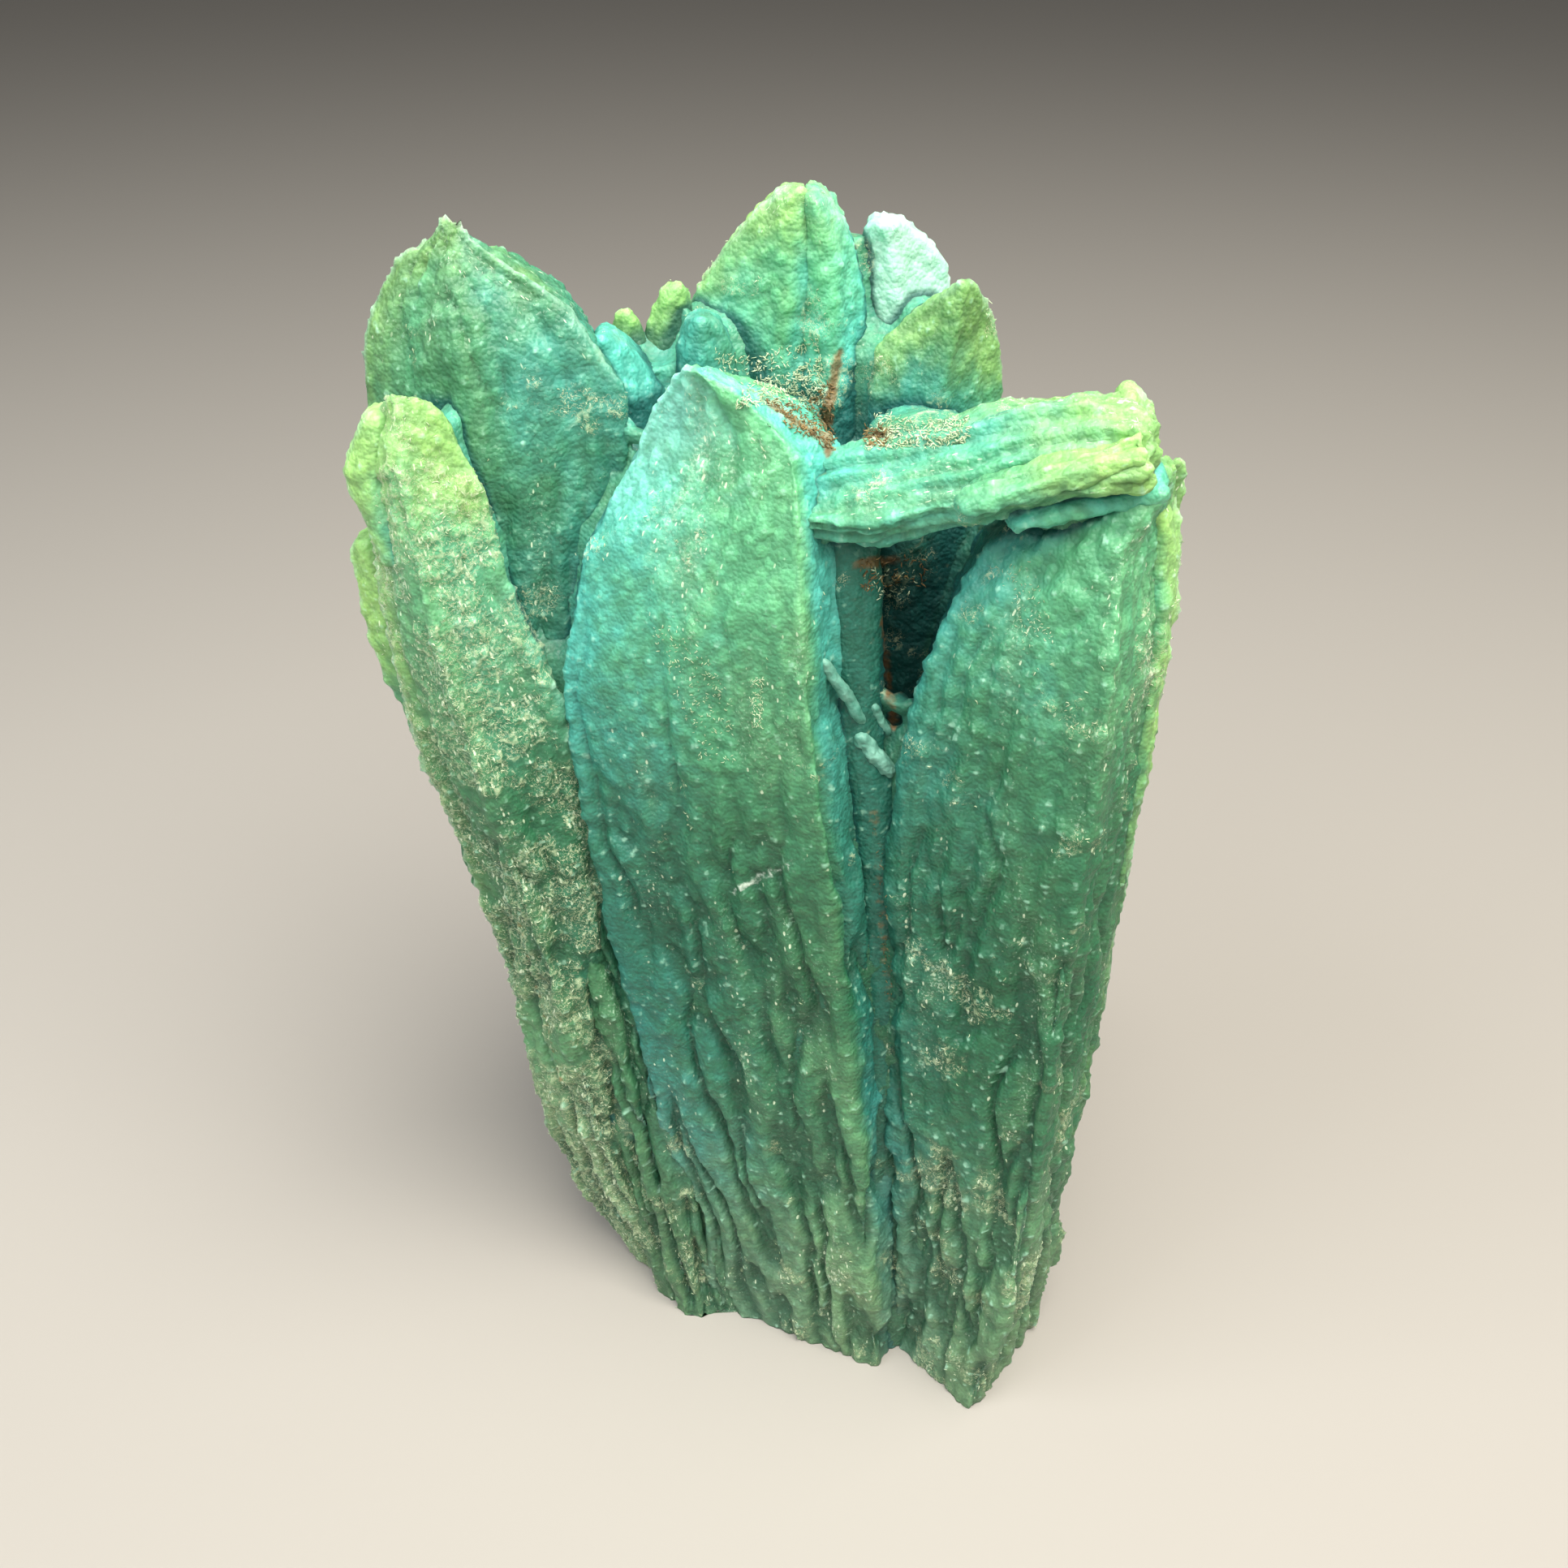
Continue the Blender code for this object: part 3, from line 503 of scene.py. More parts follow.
def note_growth(body, blade, seed):
    """Notes for each vertex where it lies on its blade: across, behind and along it, in mm."""
    rows = np.array(blade["slices"])
    x, y, z = vertex_places(body).T
    left, arris, right = (np.interp(z, rows[:, 0], rows[:, c]) for c in (1, 2, 3))
    foot, top = blade["front"]
    near = foot + (top - foot) * z / HEIGHT
    width = np.mean(rows[:, 3] - rows[:, 1])
    share = (x - left) / np.maximum(right - left, 0.05)
    finer = 1 / blade.get("rib_width", 1.0)
    growth = np.stack([share * width * finer + SEED_STEP * seed, (y - near) * finer, z], axis=1)
    store(body, "growth", growth.astype(np.float32), "FLOAT_VECTOR")
    # Of the two faces that meet at the arris, one can be more teal than the other
    arris_share = np.clip((arris - left) / np.maximum(right - left, 0.05), 0.1, 0.9)
    at_left, at_arris, at_right = blade.get("teal", USUAL_TEAL)
    before = at_left + (at_arris - at_left) * np.clip(share / arris_share, 0, 1)
    after = at_arris + (at_right - at_arris) * np.clip(3 * (share - arris_share) / (1 - arris_share), 0, 1)
    store(body, "teal", np.where(share < arris_share, before, after).astype(np.float32))
    # Pale cyan near the tip, left of the arris: partly the mineral's own colour and partly a painted
    # highlight on that face
    frost_and_highlight = blade.get("frost_and_highlight", 0.0) * np.clip(1 - (rows[-1, 0] - z) / FROST_REACH, 0, 1)
    left_of_arris = np.clip(1 - 1.2 * share / np.maximum(arris_share, 0.05) ** 0.5, 0, 1)
    store(body, "frost_and_highlight", (frost_and_highlight * left_of_arris).astype(np.float32))
    # Many blades turn yellow-green at the tip and along their two thin edges
    at_tip, at_left_edge, at_right_edge = blade.get("lime", USUAL_LIME)
    tip = at_tip * np.clip(1 - (rows[-1, 0] - z) / LIME_REACH, 0, 1)
    left_edge = at_left_edge * np.clip(1 - (x - left) / LIME_EDGE, 0, 1)
    right_edge = at_right_edge * np.clip(1 - (right - x) / LIME_EDGE, 0, 1)
    edges = np.maximum(left_edge, right_edge) * np.clip(z / 24, 0, 1)
    store(body, "lime", np.clip(tip + edges, 0, 1).astype(np.float32))
    rim = np.clip(1 - np.minimum(x - left, right - x) / RIM_WIDTH, 0, 1) * np.clip(z / 20, 0, 1)
    store(body, "rim", rim.astype(np.float32))
    pale = blade.get("pale", 0.0) * np.clip((z - rows[-1, 0] + PALE_REACH) / 2, 0, 1)
    store(body, "pale", pale.astype(np.float32))
    # Painted shade: how much darker a whole blade is painted, where it stands behind or under others
    store(body, "painted_shade", np.full(len(z), blade.get("painted_shade", 0.0), dtype=np.float32))


def sheltered(tree, target, reach):
    """Share of the directions round the normal in which the spray is met within a reach: how enclosed a
    point is, which the material paints as shade.
    """
    position = add_node(tree, "GeometryNodeInputPosition")
    normal = add_node(tree, "GeometryNodeInputNormal")
    lifted = add_node(
        tree, "ShaderNodeVectorMath", {0: normal, 1: (SHELTER_LIFT,) * 3}, operation="MULTIPLY"
    )
    start = add_node(tree, "ShaderNodeVectorMath", {0: position, 1: lifted}, operation="ADD")
    total = 0.0
    for i in range(SHELTER_RAYS):
        height = 1 - (2 * i + 1) / SHELTER_RAYS
        ring = math.sqrt(1 - height * height)
        turn = i * math.pi * (3 - math.sqrt(5))
        wide = SHELTER_CONE * ring
        way = (wide * math.cos(turn), wide * math.sin(turn), SHELTER_CONE * height)
        direction = add_node(tree, "ShaderNodeVectorMath", {0: normal, 1: way}, operation="ADD")
        ray = add_node(
            tree,
            "GeometryNodeRaycast",
            {
                "Target Geometry": target,
                "Source Position": start.outputs[0],
                "Ray Direction": direction.outputs[0],
                "Ray Length": reach,
            },
        )
        near = add_node(
            tree,
            "ShaderNodeMapRange",
            {"Value": ray.outputs["Hit Distance"], "From Max": reach, "To Min": 1.0, "To Max": 0.2},
        )
        met = add_node(tree, "ShaderNodeMath", {0: ray.outputs["Is Hit"], 1: near}, operation="MULTIPLY")
        total = add_node(tree, "ShaderNodeMath", {0: met, 1: total}, operation="ADD")
    gain = SHELTER_GAIN / SHELTER_RAYS
    share = add_node(tree, "ShaderNodeMath", {0: total, 1: gain}, operation="MULTIPLY")
    return add_node(
        tree, "GeometryNodeBlurAttribute", {"Value": share.outputs[0], "Iterations": SHELTER_BLUR}
    )


def surface_tree(spray):
    """Geometry nodes that raise a blade's ribs, lumps, globules, crumbs and grains."""
    tree = bpy.data.node_groups.new("blade surface", "GeometryNodeTree")
    tree.interface.new_socket("Geometry", in_out="INPUT", socket_type="NodeSocketGeometry")
    for name in ("Ribs", "Globules", "Crumbs", "Lumps"):
        tree.interface.new_socket(name, in_out="INPUT", socket_type="NodeSocketFloat")
    tree.interface.new_socket("Geometry", in_out="OUTPUT", socket_type="NodeSocketGeometry")
    given = tree.nodes.new("NodeGroupInput")
    position = add_node(tree, "GeometryNodeInputPosition").outputs[0]
    height = add_node(tree, "ShaderNodeSeparateXYZ", {0: position}).outputs["Z"]
    growth = add_node(
        tree, "GeometryNodeInputNamedAttribute", {"Name": "growth"}, data_type="FLOAT_VECTOR"
    ).outputs["Attribute"]

    # The growth strays a little from side to side, and so do the ribs that follow it
    wander = add_node(tree, "ShaderNodeTexNoise", {"Vector": growth, "Scale": 0.3, "Detail": 2.0})
    strayed = add_node(
        tree,
        "ShaderNodeVectorMath",
        {0: wander.outputs["Color"], 1: (1.0, 1.0, 0.0)},
        operation="MULTIPLY",
    )
    rib_place = add_node(tree, "ShaderNodeVectorMath", {0: growth, 1: strayed}, operation="ADD")
    along = {}
    for name, sizes in (("ribs", (1.0, 1.0, 8.0)), ("ridges", (0.33, 0.33, 2.2))):
        drawn_out = add_node(
            tree,
            "ShaderNodeVectorMath",
            {0: rib_place, 1: tuple(1 / size for size in sizes)},
            operation="MULTIPLY",
        )
        along[name] = add_node(
            tree, "ShaderNodeTexNoise", {"Vector": drawn_out, "Scale": 1.0, "Detail": 1.0}, normalize=False
        )

    # Long rounded ribs with narrow grooves between them, fainter high up
    from_groove = add_node(tree, "ShaderNodeMath", {0: along["ribs"]}, operation="ABSOLUTE")
    steep = add_node(tree, "ShaderNodeMath", {0: from_groove, 1: 3.4}, operation="MULTIPLY")
    rib = add_node(tree, "ShaderNodeMath", {0: steep, 1: 1.0, 2: 0.5}, operation="SMOOTH_MIN")
    faint = add_node(
        tree,
        "ShaderNodeMapRange",
        {"Value": height, "From Min": 14.0, "From Max": 26.0, "To Min": 1.0, "To Max": 0.32},
    )
    off_floor = add_node(
        tree,
        "ShaderNodeMapRange",
        {"Value": height, "From Min": 0.0, "From Max": 1.6, "To Min": 0.3, "To Max": 1.0},
    )
    fainter = add_node(tree, "ShaderNodeMath", {0: faint, 1: off_floor}, operation="MULTIPLY")
    rib_deep = add_node(
        tree, "ShaderNodeMath", {0: given.outputs["Ribs"], 1: fainter}, operation="MULTIPLY"
    )
    sunk = add_node(tree, "ShaderNodeMath", {0: 0.8, 1: rib}, operation="SUBTRACT")
    groove = add_node(tree, "ShaderNodeMath", {0: sunk, 1: rib_deep}, operation="MULTIPLY")
    ridges = add_node(tree, "ShaderNodeMath", {0: along["ridges"], 1: rib_deep}, operation="MULTIPLY")

    # Lumps, and globules like tiny grapes where they are given, with small pearls all over
    lump_noise = add_node(
        tree,
        "ShaderNodeTexNoise",
        {"Vector": position, "Scale": 0.9, "Detail": 2.5, "Roughness": 0.6},
        normalize=False,
    )
    flatter = add_node(
        tree,
        "ShaderNodeMapRange",
        {"Value": height, "From Min": 16.0, "From Max": 25.0, "To Min": 1.0, "To Max": 0.45},
    )
    lump_high = add_node(
        tree, "ShaderNodeMath", {0: given.outputs["Lumps"], 1: flatter}, operation="MULTIPLY"
    )
    lumps = add_node(tree, "ShaderNodeMath", {0: lump_noise, 1: lump_high}, operation="MULTIPLY")
    domes = {}
    for name, size in (("globule", 0.62), ("pearl", 0.3)):
        cell = add_node(
            tree,
            "ShaderNodeTexVoronoi",
            {"Vector": position, "Scale": 1 / size, "Smoothness": 0.2, "Randomness": 0.95},
            feature="SMOOTH_F1",
        )
        domes[name] = add_node(
            tree,
            "ShaderNodeMapRange",
            {
                "Value": cell.outputs["Distance"],
                "From Min": 0.05,
                "From Max": 0.62,
                "To Min": 1.0,
                "To Max": 0.0,
            },
            interpolation_type="SMOOTHSTEP",
        )
    patch_noise = add_node(
        tree, "ShaderNodeTexNoise", {"Vector": position, "Scale": 0.3, "Detail": 2.0}, normalize=False
    )
    patch_level = add_node(
        tree, "ShaderNodeMath", {0: patch_noise, 1: given.outputs["Globules"]}, operation="ADD"
    )
    patch = add_node(
        tree,
        "ShaderNodeMapRange",
        {"Value": patch_level, "From Min": 0.1, "From Max": 0.8},
        interpolation_type="SMOOTHSTEP",
    )
    globule = add_node(tree, "ShaderNodeMath", {0: domes["globule"], 1: patch}, operation="MULTIPLY")

    # Crumbs: short crooked worms of a pale mineral on top of the druse, more of them low down
    crook = add_node(
        tree,
        "ShaderNodeTexNoise",
        {"Vector": position, "Scale": 3.4, "Detail": 2.0, "Roughness": 0.6},
        normalize=False,
    )
    crook_line = add_node(tree, "ShaderNodeMath", {0: crook}, operation="ABSOLUTE")
    worm = add_node(
        tree,
        "ShaderNodeMapRange",
        {"Value": crook_line, "From Min": 0.02, "From Max": 0.15, "To Min": 1.0, "To Max": 0.0},
        interpolation_type="SMOOTHSTEP",
    )
    spread = add_node(
        tree,
        "ShaderNodeTexNoise",
        {"Vector": position, "Scale": 0.5, "Detail": 4.0, "Roughness": 0.7},
        normalize=False,
    )
    low_down = add_node(
        tree,
        "ShaderNodeMapRange",
        {"Value": height, "From Min": 0.0, "From Max": 13.0, "To Min": 0.35, "To Max": 0.0},
    )
    crumb_level = add_node(
        tree, "ShaderNodeMath", {0: given.outputs["Crumbs"], 1: low_down}, operation="ADD"
    )
    crumb_place = add_node(tree, "ShaderNodeMath", {0: crumb_level, 1: spread}, operation="ADD")
    crumb = add_node(
        tree,
        "ShaderNodeMapRange",
        {"Value": crumb_place, "From Min": 0.3, "From Max": 1.0},
        interpolation_type="SMOOTHSTEP",
    )
    crumb_worm = add_node(tree, "ShaderNodeMath", {0: worm, 1: crumb}, operation="MULTIPLY")

    # Sugary grains of the druse
    grain = add_node(tree, "ShaderNodeTexVoronoi", {"Vector": position, "Scale": 5.6, "Randomness": 1.0})

    # All of it together, in millimetres along the normal
    raised = 0.0
    for part, amount in (
        (groove, -0.4),
        (ridges, 0.1),
        (lumps, 0.11),
        (globule, 0.11),
        (domes["pearl"], 0.06),
        (crumb_worm, 0.06),
        (grain.outputs["Distance"], -0.015),
    ):
        raised = add_node(
            tree, "ShaderNodeMath", {0: part, 1: amount, 2: raised}, operation="MULTIPLY_ADD"
        )
    normal = add_node(tree, "GeometryNodeInputNormal")
    offset = add_node(tree, "ShaderNodeVectorMath", {0: normal, "Scale": raised}, operation="SCALE")

    # How enclosed each point is by the spray: the material paints it as shade in the creases and hollows,
    # and fewer worms are laid there
    around = add_node(tree, "GeometryNodeObjectInfo", {"Object": spray})
    shelter = sheltered(tree, around.outputs["Geometry"], SHELTER_REACH)

    kept = given.outputs["Geometry"]
    for name, value in (
        ("shelter", shelter),
        ("groove", groove),
        ("ridge", ridges),
        ("globule", globule),
        ("pearl", domes["pearl"]),
        ("crumb", crumb),
        ("worm", crumb_worm),
    ):
        kept = add_node(
            tree,
            "GeometryNodeStoreNamedAttribute",
            {"Geometry": kept, "Name": name, "Value": value},
            data_type="FLOAT",
            domain="POINT",
        ).outputs[0]
    moved = add_node(tree, "GeometryNodeSetPosition", {"Geometry": kept, "Offset": offset})
    result = tree.nodes.new("NodeGroupOutput")
    tree.links.new(moved.outputs[0], result.inputs[0])
    return tree


def raise_surface(body, blade, tree):
    """Applies the blade surface to a blade with that blade's strengths."""
    modifier = body.modifiers.new("Surface", "NODES")
    modifier.node_group = tree
    for item in tree.interface.items_tree:
        if item.in_out == "INPUT" and item.name != "Geometry":
            modifier[item.identifier] = float(blade.get(item.name.lower(), 1.0))
    bpy.context.view_layer.objects.active = body
    bpy.ops.object.modifier_apply(modifier=modifier.name)


def cut_foot(body):
    """Cuts off what is below the floor and closes the cut."""
    bpy.ops.object.select_all(action="DESELECT")
    body.select_set(True)
    bpy.context.view_layer.objects.active = body
    bpy.ops.object.mode_set(mode="EDIT")
    bpy.ops.mesh.select_all(action="SELECT")
    bpy.ops.mesh.bisect(plane_co=(0, 0, 0), plane_no=(0, 0, 1), use_fill=True, clear_inner=True)
    bpy.ops.object.mode_set(mode="OBJECT")


def smooth(body):
    for polygon in body.data.polygons:
        polygon.use_smooth = True


def placing(blade):
    """Where a blade stands, or how it lies across the others."""
    if "start" not in blade:
        return Matrix.Identity(4)
    turn = Euler((0, math.radians(blade["tip"]), math.radians(blade["swing"])))
    return Matrix.Translation(blade["start"]) @ turn.to_matrix().to_4x4()


def fused_cages():
    """All the plain cages in place, as one object."""
    cages = []
    for name, blade in ({"heart": HEART} | BLADES | CROSSING).items():
        body = cage(name + "_plain", blade)
        body.data.transform(placing(blade))
        cages.append(body)
    bpy.ops.object.select_all(action="DESELECT")
    for body in cages:
        body.select_set(True)
    bpy.context.view_layer.objects.active = cages[0]
    bpy.ops.object.join()
    return bpy.context.object


def grow(name, blade, tree, seed):
    """One finished blade."""
    body = cage(name, blade)
    apply_modifier(body, "REMESH", mode="VOXEL", voxel_size=blade["mesh"], use_smooth_shade=True)
    note_growth(body, blade, seed)
    body.data.transform(placing(blade))
    raise_surface(body, blade, tree)
    if blade["slices"][0][0] == 0:
        cut_foot(body)
    body.data.transform(TO_ORIGIN)
    smooth(body)
    return body


def fill_creases(druse, tree):
    """The druse that has grown over the joints: all blades fused, their slits closed by
    swelling and shrinking, and sunk so that it only shows in the creases between them."""
    druse.name = druse.data.name = "crease_druse"
    for amount in (CREASE_FILL, -CREASE_FILL - CREASE_SINK):
        apply_modifier(druse, "REMESH", mode="VOXEL", voxel_size=CREASE_MESH)
        apply_modifier(druse, "DISPLACE", strength=amount, mid_level=0.0, direction="NORMAL")
    apply_modifier(druse, "REMESH", mode="VOXEL", voxel_size=CREASE_MESH, use_smooth_shade=True)
    store(druse, "growth", vertex_places(druse), "FLOAT_VECTOR")
    # The druse in the creases also gets painted shade
    notes = {"teal": 0.45, "lime": 0.0, "frost_and_highlight": 0.0, "rim": 0.0, "pale": 0.0, "painted_shade": 0.6}
    for name, value in notes.items():
        store(druse, name, np.full(len(druse.data.vertices), value, dtype=np.float32))
    raise_surface(druse, dict(ribs=0.2, globules=0.2, crumbs=0.2), tree)
    cut_foot(druse)
    druse.data.transform(TO_ORIGIN)
    smooth(druse)
    return druse


def in_photograph(pieces, pixel):
    """The place and normal, in mm, where a pixel of the photograph meets the specimen."""
    across = (pixel[0] - PHOTO_PIXELS / 2) / FOCAL_PIXELS
    up = (PHOTO_PIXELS / 2 - pixel[1]) / FOCAL_PIXELS
    turn = Euler((math.radians(90 - CAMERA_PITCH), 0, 0)).to_matrix()
    way = (turn @ Vector((across, up, -1))).normalized()
    start = TO_ORIGIN @ Vector(CAMERA_PLACE)
    nearest = None
    for body in pieces:
        met, place, normal, _ = body.ray_cast(start, way)
        if met and (nearest is None or (place - start).length < (nearest[0] - start).length):
            nearest = place, normal
    return nearest


def note_marks(pieces, name, marks):
    """Notes how strongly each vertex is marked: 1 on a mark's path, 0 at its width."""
    paths = []
    for pixels, width, strength in marks:
        points = []
        for first, second in zip(pixels, pixels[1:]):
            for i in range(MARK_STEPS + 1):
                pixel = [a + (b - a) * i / MARK_STEPS for a, b in zip(first, second)]
                met = in_photograph(pieces, pixel)
                if met:
                    points.append(met[0])
        paths.append((np.array(points), width * MM, strength))
    for body in pieces:
        places = vertex_places(body)
        low, high = places.min(axis=0), places.max(axis=0)
        marked = np.zeros(len(places), dtype=np.float32)
        for points, width, strength in paths:
            for point in points:
                if np.all(point > low - width) and np.all(point < high + width):
                    distance = np.linalg.norm(places - point, axis=1)
                    marked = np.maximum(marked, strength * (1 - distance / width))
        store(body, name, marked)


def crumb_shape(name, bends):
    """A crooked rod one unit long, drawn along X from a small ring."""
    bpy.ops.object.select_all(action="DESELECT")
    bpy.ops.mesh.primitive_circle_add(
        vertices=3, radius=0.5, fill_type="NGON", rotation=(0, math.radians(90), 0)
    )
    shape = bpy.context.object
    shape.name = name
    bpy.ops.object.transform_apply(location=False)
    bpy.ops.object.mode_set(mode="EDIT")
    bpy.ops.mesh.select_all(action="SELECT")
    bpy.ops.transform.resize(value=(1, 0.6, 0.6))
    for step, size in bends:
        bpy.ops.mesh.extrude_region_move(TRANSFORM_OT_translate={"value": step})
        bpy.ops.transform.resize(value=(1, size, size))
    bpy.ops.mesh.select_all(action="SELECT")
    bpy.ops.mesh.normals_make_consistent(inside=False)
    bpy.ops.object.mode_set(mode="OBJECT")
    return shape


def crumb_shapes():
    """A straight crumb, a hooked one and a wavy one."""
    return [
        crumb_shape("straight", [((0.5, 0.1, 0), 1.6), ((0.5, -0.1, 0), 0.6)]),
        crumb_shape("hooked", [((0.5, 0.4, 0), 1.5), ((0.25, 1.0, 0), 0.6)]),
        crumb_shape("wavy", [((0.35, 0.7, 0), 1.5), ((0.6, -0.7, 0), 0.7)]),
    ]


def lay_crumbs(name, shapes, places, chance, stand):
    """Lays one crumb at each place, flat on the surface or standing up from it."""
    kinds = [
        (np.array([v.co for v in shape.data.vertices]), [tuple(p.vertices) for p in shape.data.polygons])
        for shape in shapes
    ]
    all_places, all_faces, start = [], [], 0
    for place, normal, length in places:
        corners, faces = kinds[chance.integers(len(kinds))]
        normal = Vector(normal)
        side = Vector(chance.normal(size=3))
        lying = (side - side.project(normal)).normalized()
        along = (lying + stand * chance.random() * normal).normalized()
        across = normal.cross(along)
        turn = Matrix((along, across.normalized(), along.cross(across).normalized()))
        size = length * chance.uniform(0.6, 1.4) * MM
        thick = size * chance.uniform(0.22, 0.34)
        sizes = np.array((size, thick, thick))
        set_down = np.array(place) + np.array(normal) * thick * 0.25
        all_places.append((corners * sizes) @ np.array(turn) + set_down)
        all_faces.extend([tuple(start + i for i in face) for face in faces])
        start += len(corners)
    mesh = bpy.data.meshes.new(name)
    mesh.from_pydata(np.concatenate(all_places).tolist(), [], all_faces)
    body = bpy.data.objects.new(name, mesh)
    bpy.context.scene.collection.objects.link(body)
    smooth(body)
    return body


def inside(pixel, corners):
    """Whether a pixel lies within a patch."""
    odd = False
    for (x0, y0), (x1, y1) in zip(corners, corners[1:] + corners[:1]):
        if (y0 > pixel[1]) != (y1 > pixel[1]) and pixel[0] < x0 + (x1 - x0) * (pixel[1] - y0) / (y1 - y0):
            odd = not odd
    return odd


def crumb_pieces(pieces):
    """The pale and stained crumbs in the fringes, and the pale worms all over."""
    chance = np.random.default_rng(7)
    shapes = crumb_shapes()
    found = {"pale": [], "stained": []}
    for corners, number, length, kind in FRINGES:
        low, high = np.min(corners, axis=0), np.max(corners, axis=0)
        laid = 0
        while laid < number:
            pixel = chance.uniform(low, high)
            if inside(pixel, corners):
                laid += 1
                met = in_photograph(pieces, pixel)
                if met:
                    found[kind].append((met[0], met[1], length))
    made = {
        "pale_crumbs": lay_crumbs("pale_crumbs", shapes, found["pale"], chance, 0.7),
        "stained_crumbs": lay_crumbs("stained_crumbs", shapes, found["stained"], chance, 1.0),
    }
    worms = []
    shares = [len(body.data.vertices) for body in pieces]
    weight = np.concatenate(
        [stored(b, "crumb") ** 1.5 * np.clip(1 - 1.5 * stored(b, "shelter"), 0, 1) for b in pieces]
    )
    starts = np.cumsum([0] + shares)
    for picked in chance.choice(len(weight), size=WORMS, replace=False, p=weight / weight.sum()):
        which = int(np.searchsorted(starts, picked, side="right")) - 1
        vertex = pieces[which].data.vertices[int(picked - starts[which])]
        worms.append((vertex.co, vertex.normal, WORM_LENGTH))
    made["pale_worms"] = lay_crumbs("pale_worms", shapes, worms, chance, 0.3)
    for shape in shapes:
        bpy.data.objects.remove(shape)
    return made


def pale_rods(pieces):
    """The pale rods that lie beside the hollow, each a tube with a lumpy skin."""
    made = []
    for number, (first, second, radius) in enumerate(RODS):
        ends = [in_photograph(pieces, pixel) for pixel in (first, second)]
        start, end = (place - normal * radius * MM * 0.2 for place, normal in ends)
        bpy.ops.object.select_all(action="DESELECT")
        bpy.ops.mesh.primitive_circle_add(vertices=14, radius=radius * MM * 0.5, fill_type="NGON")
        rod = bpy.context.object
        rod.name = rod.data.name = f"pale_rod_{number + 1}"
        length = (end - start).length
        bpy.ops.object.mode_set(mode="EDIT")
        bpy.ops.mesh.select_all(action="SELECT")
        for i, size in enumerate(ROD_SIZES):
            step = (ROD_SWAY * MM * math.sin(2.1 * i), 0, length / len(ROD_SIZES))
            bpy.ops.mesh.extrude_region_move(TRANSFORM_OT_translate={"value": step})
            bpy.ops.transform.resize(value=(size, size, 1))
        bpy.ops.mesh.select_all(action="SELECT")
        bpy.ops.mesh.normals_make_consistent(inside=False)
        bpy.ops.object.mode_set(mode="OBJECT")
        apply_modifier(rod, "SUBSURF", levels=3, render_levels=3)
        lumps = bpy.data.textures.new("rod lumps", "CLOUDS")
        lumps.noise_scale = 0.35 * MM
        apply_modifier(rod, "DISPLACE", texture=lumps, strength=radius * MM * 0.9, mid_level=0.5)
        turn = (end - start).to_track_quat("Z", "Y").to_matrix().to_4x4()
        rod.data.transform(Matrix.Translation(start) @ turn)
        smooth(rod)
        made.append(rod)
    return made


def crumb_finish(name, colours, roughness):
    """Calcite and clay crumbs, or the same stained by iron: dull, dusty, uneven in colour."""
    material = bpy.data.materials.new(name)
    material.use_nodes = True
    tree = material.node_tree
    tree.nodes.clear()
    place = add_node(tree, "ShaderNodeTexCoord").outputs["Object"]
    cloud = add_node(
        tree,
        "ShaderNodeTexNoise",
        {"Vector": place, "Scale": 1 / (0.5 * MM), "Detail": 4.0, "Roughness": 0.7},
    )
    share = add_node(tree, "ShaderNodeMapRange", {"Value": cloud, "From Min": 0.35, "From Max": 0.65})
    colour = add_node(
        tree,
        "ShaderNodeMix",
        {0: share, 6: hex_colour(colours[0]), 7: hex_colour(colours[1])},
        data_type="RGBA",
    ).outputs[2]
    dust_and_glint = add_node(tree, "ShaderNodeTexNoise", {"Vector": place, "Scale": 1 / (0.05 * MM), "Detail": 2.0})
    bump = add_node(tree, "ShaderNodeBump", {"Height": dust_and_glint, "Strength": 0.5, "Distance": 0.00003})
    shader = add_node(
        tree,
        "ShaderNodeBsdfPrincipled",
        {
            "Base Color": colour,
            "Roughness": roughness,
            "Subsurface Weight": 0.1,
            "Subsurface Radius": (1, 1, 0.8),
            "Subsurface Scale": 0.0002,
            "Normal": bump,
        },
    )
    output = add_node(tree, "ShaderNodeOutputMaterial")
    tree.links.new(shader.outputs[0], output.inputs["Surface"])
    return material


def weighted_sum(tree, noted, parts):
    """The sum of what was noted, each part by its own amount."""
    total = 0.0
    for part, much in parts:
        total = add_node(
            tree, "ShaderNodeMath", {0: noted[part], 1: much, 2: total}, operation="MULTIPLY_ADD"
        )
    return total


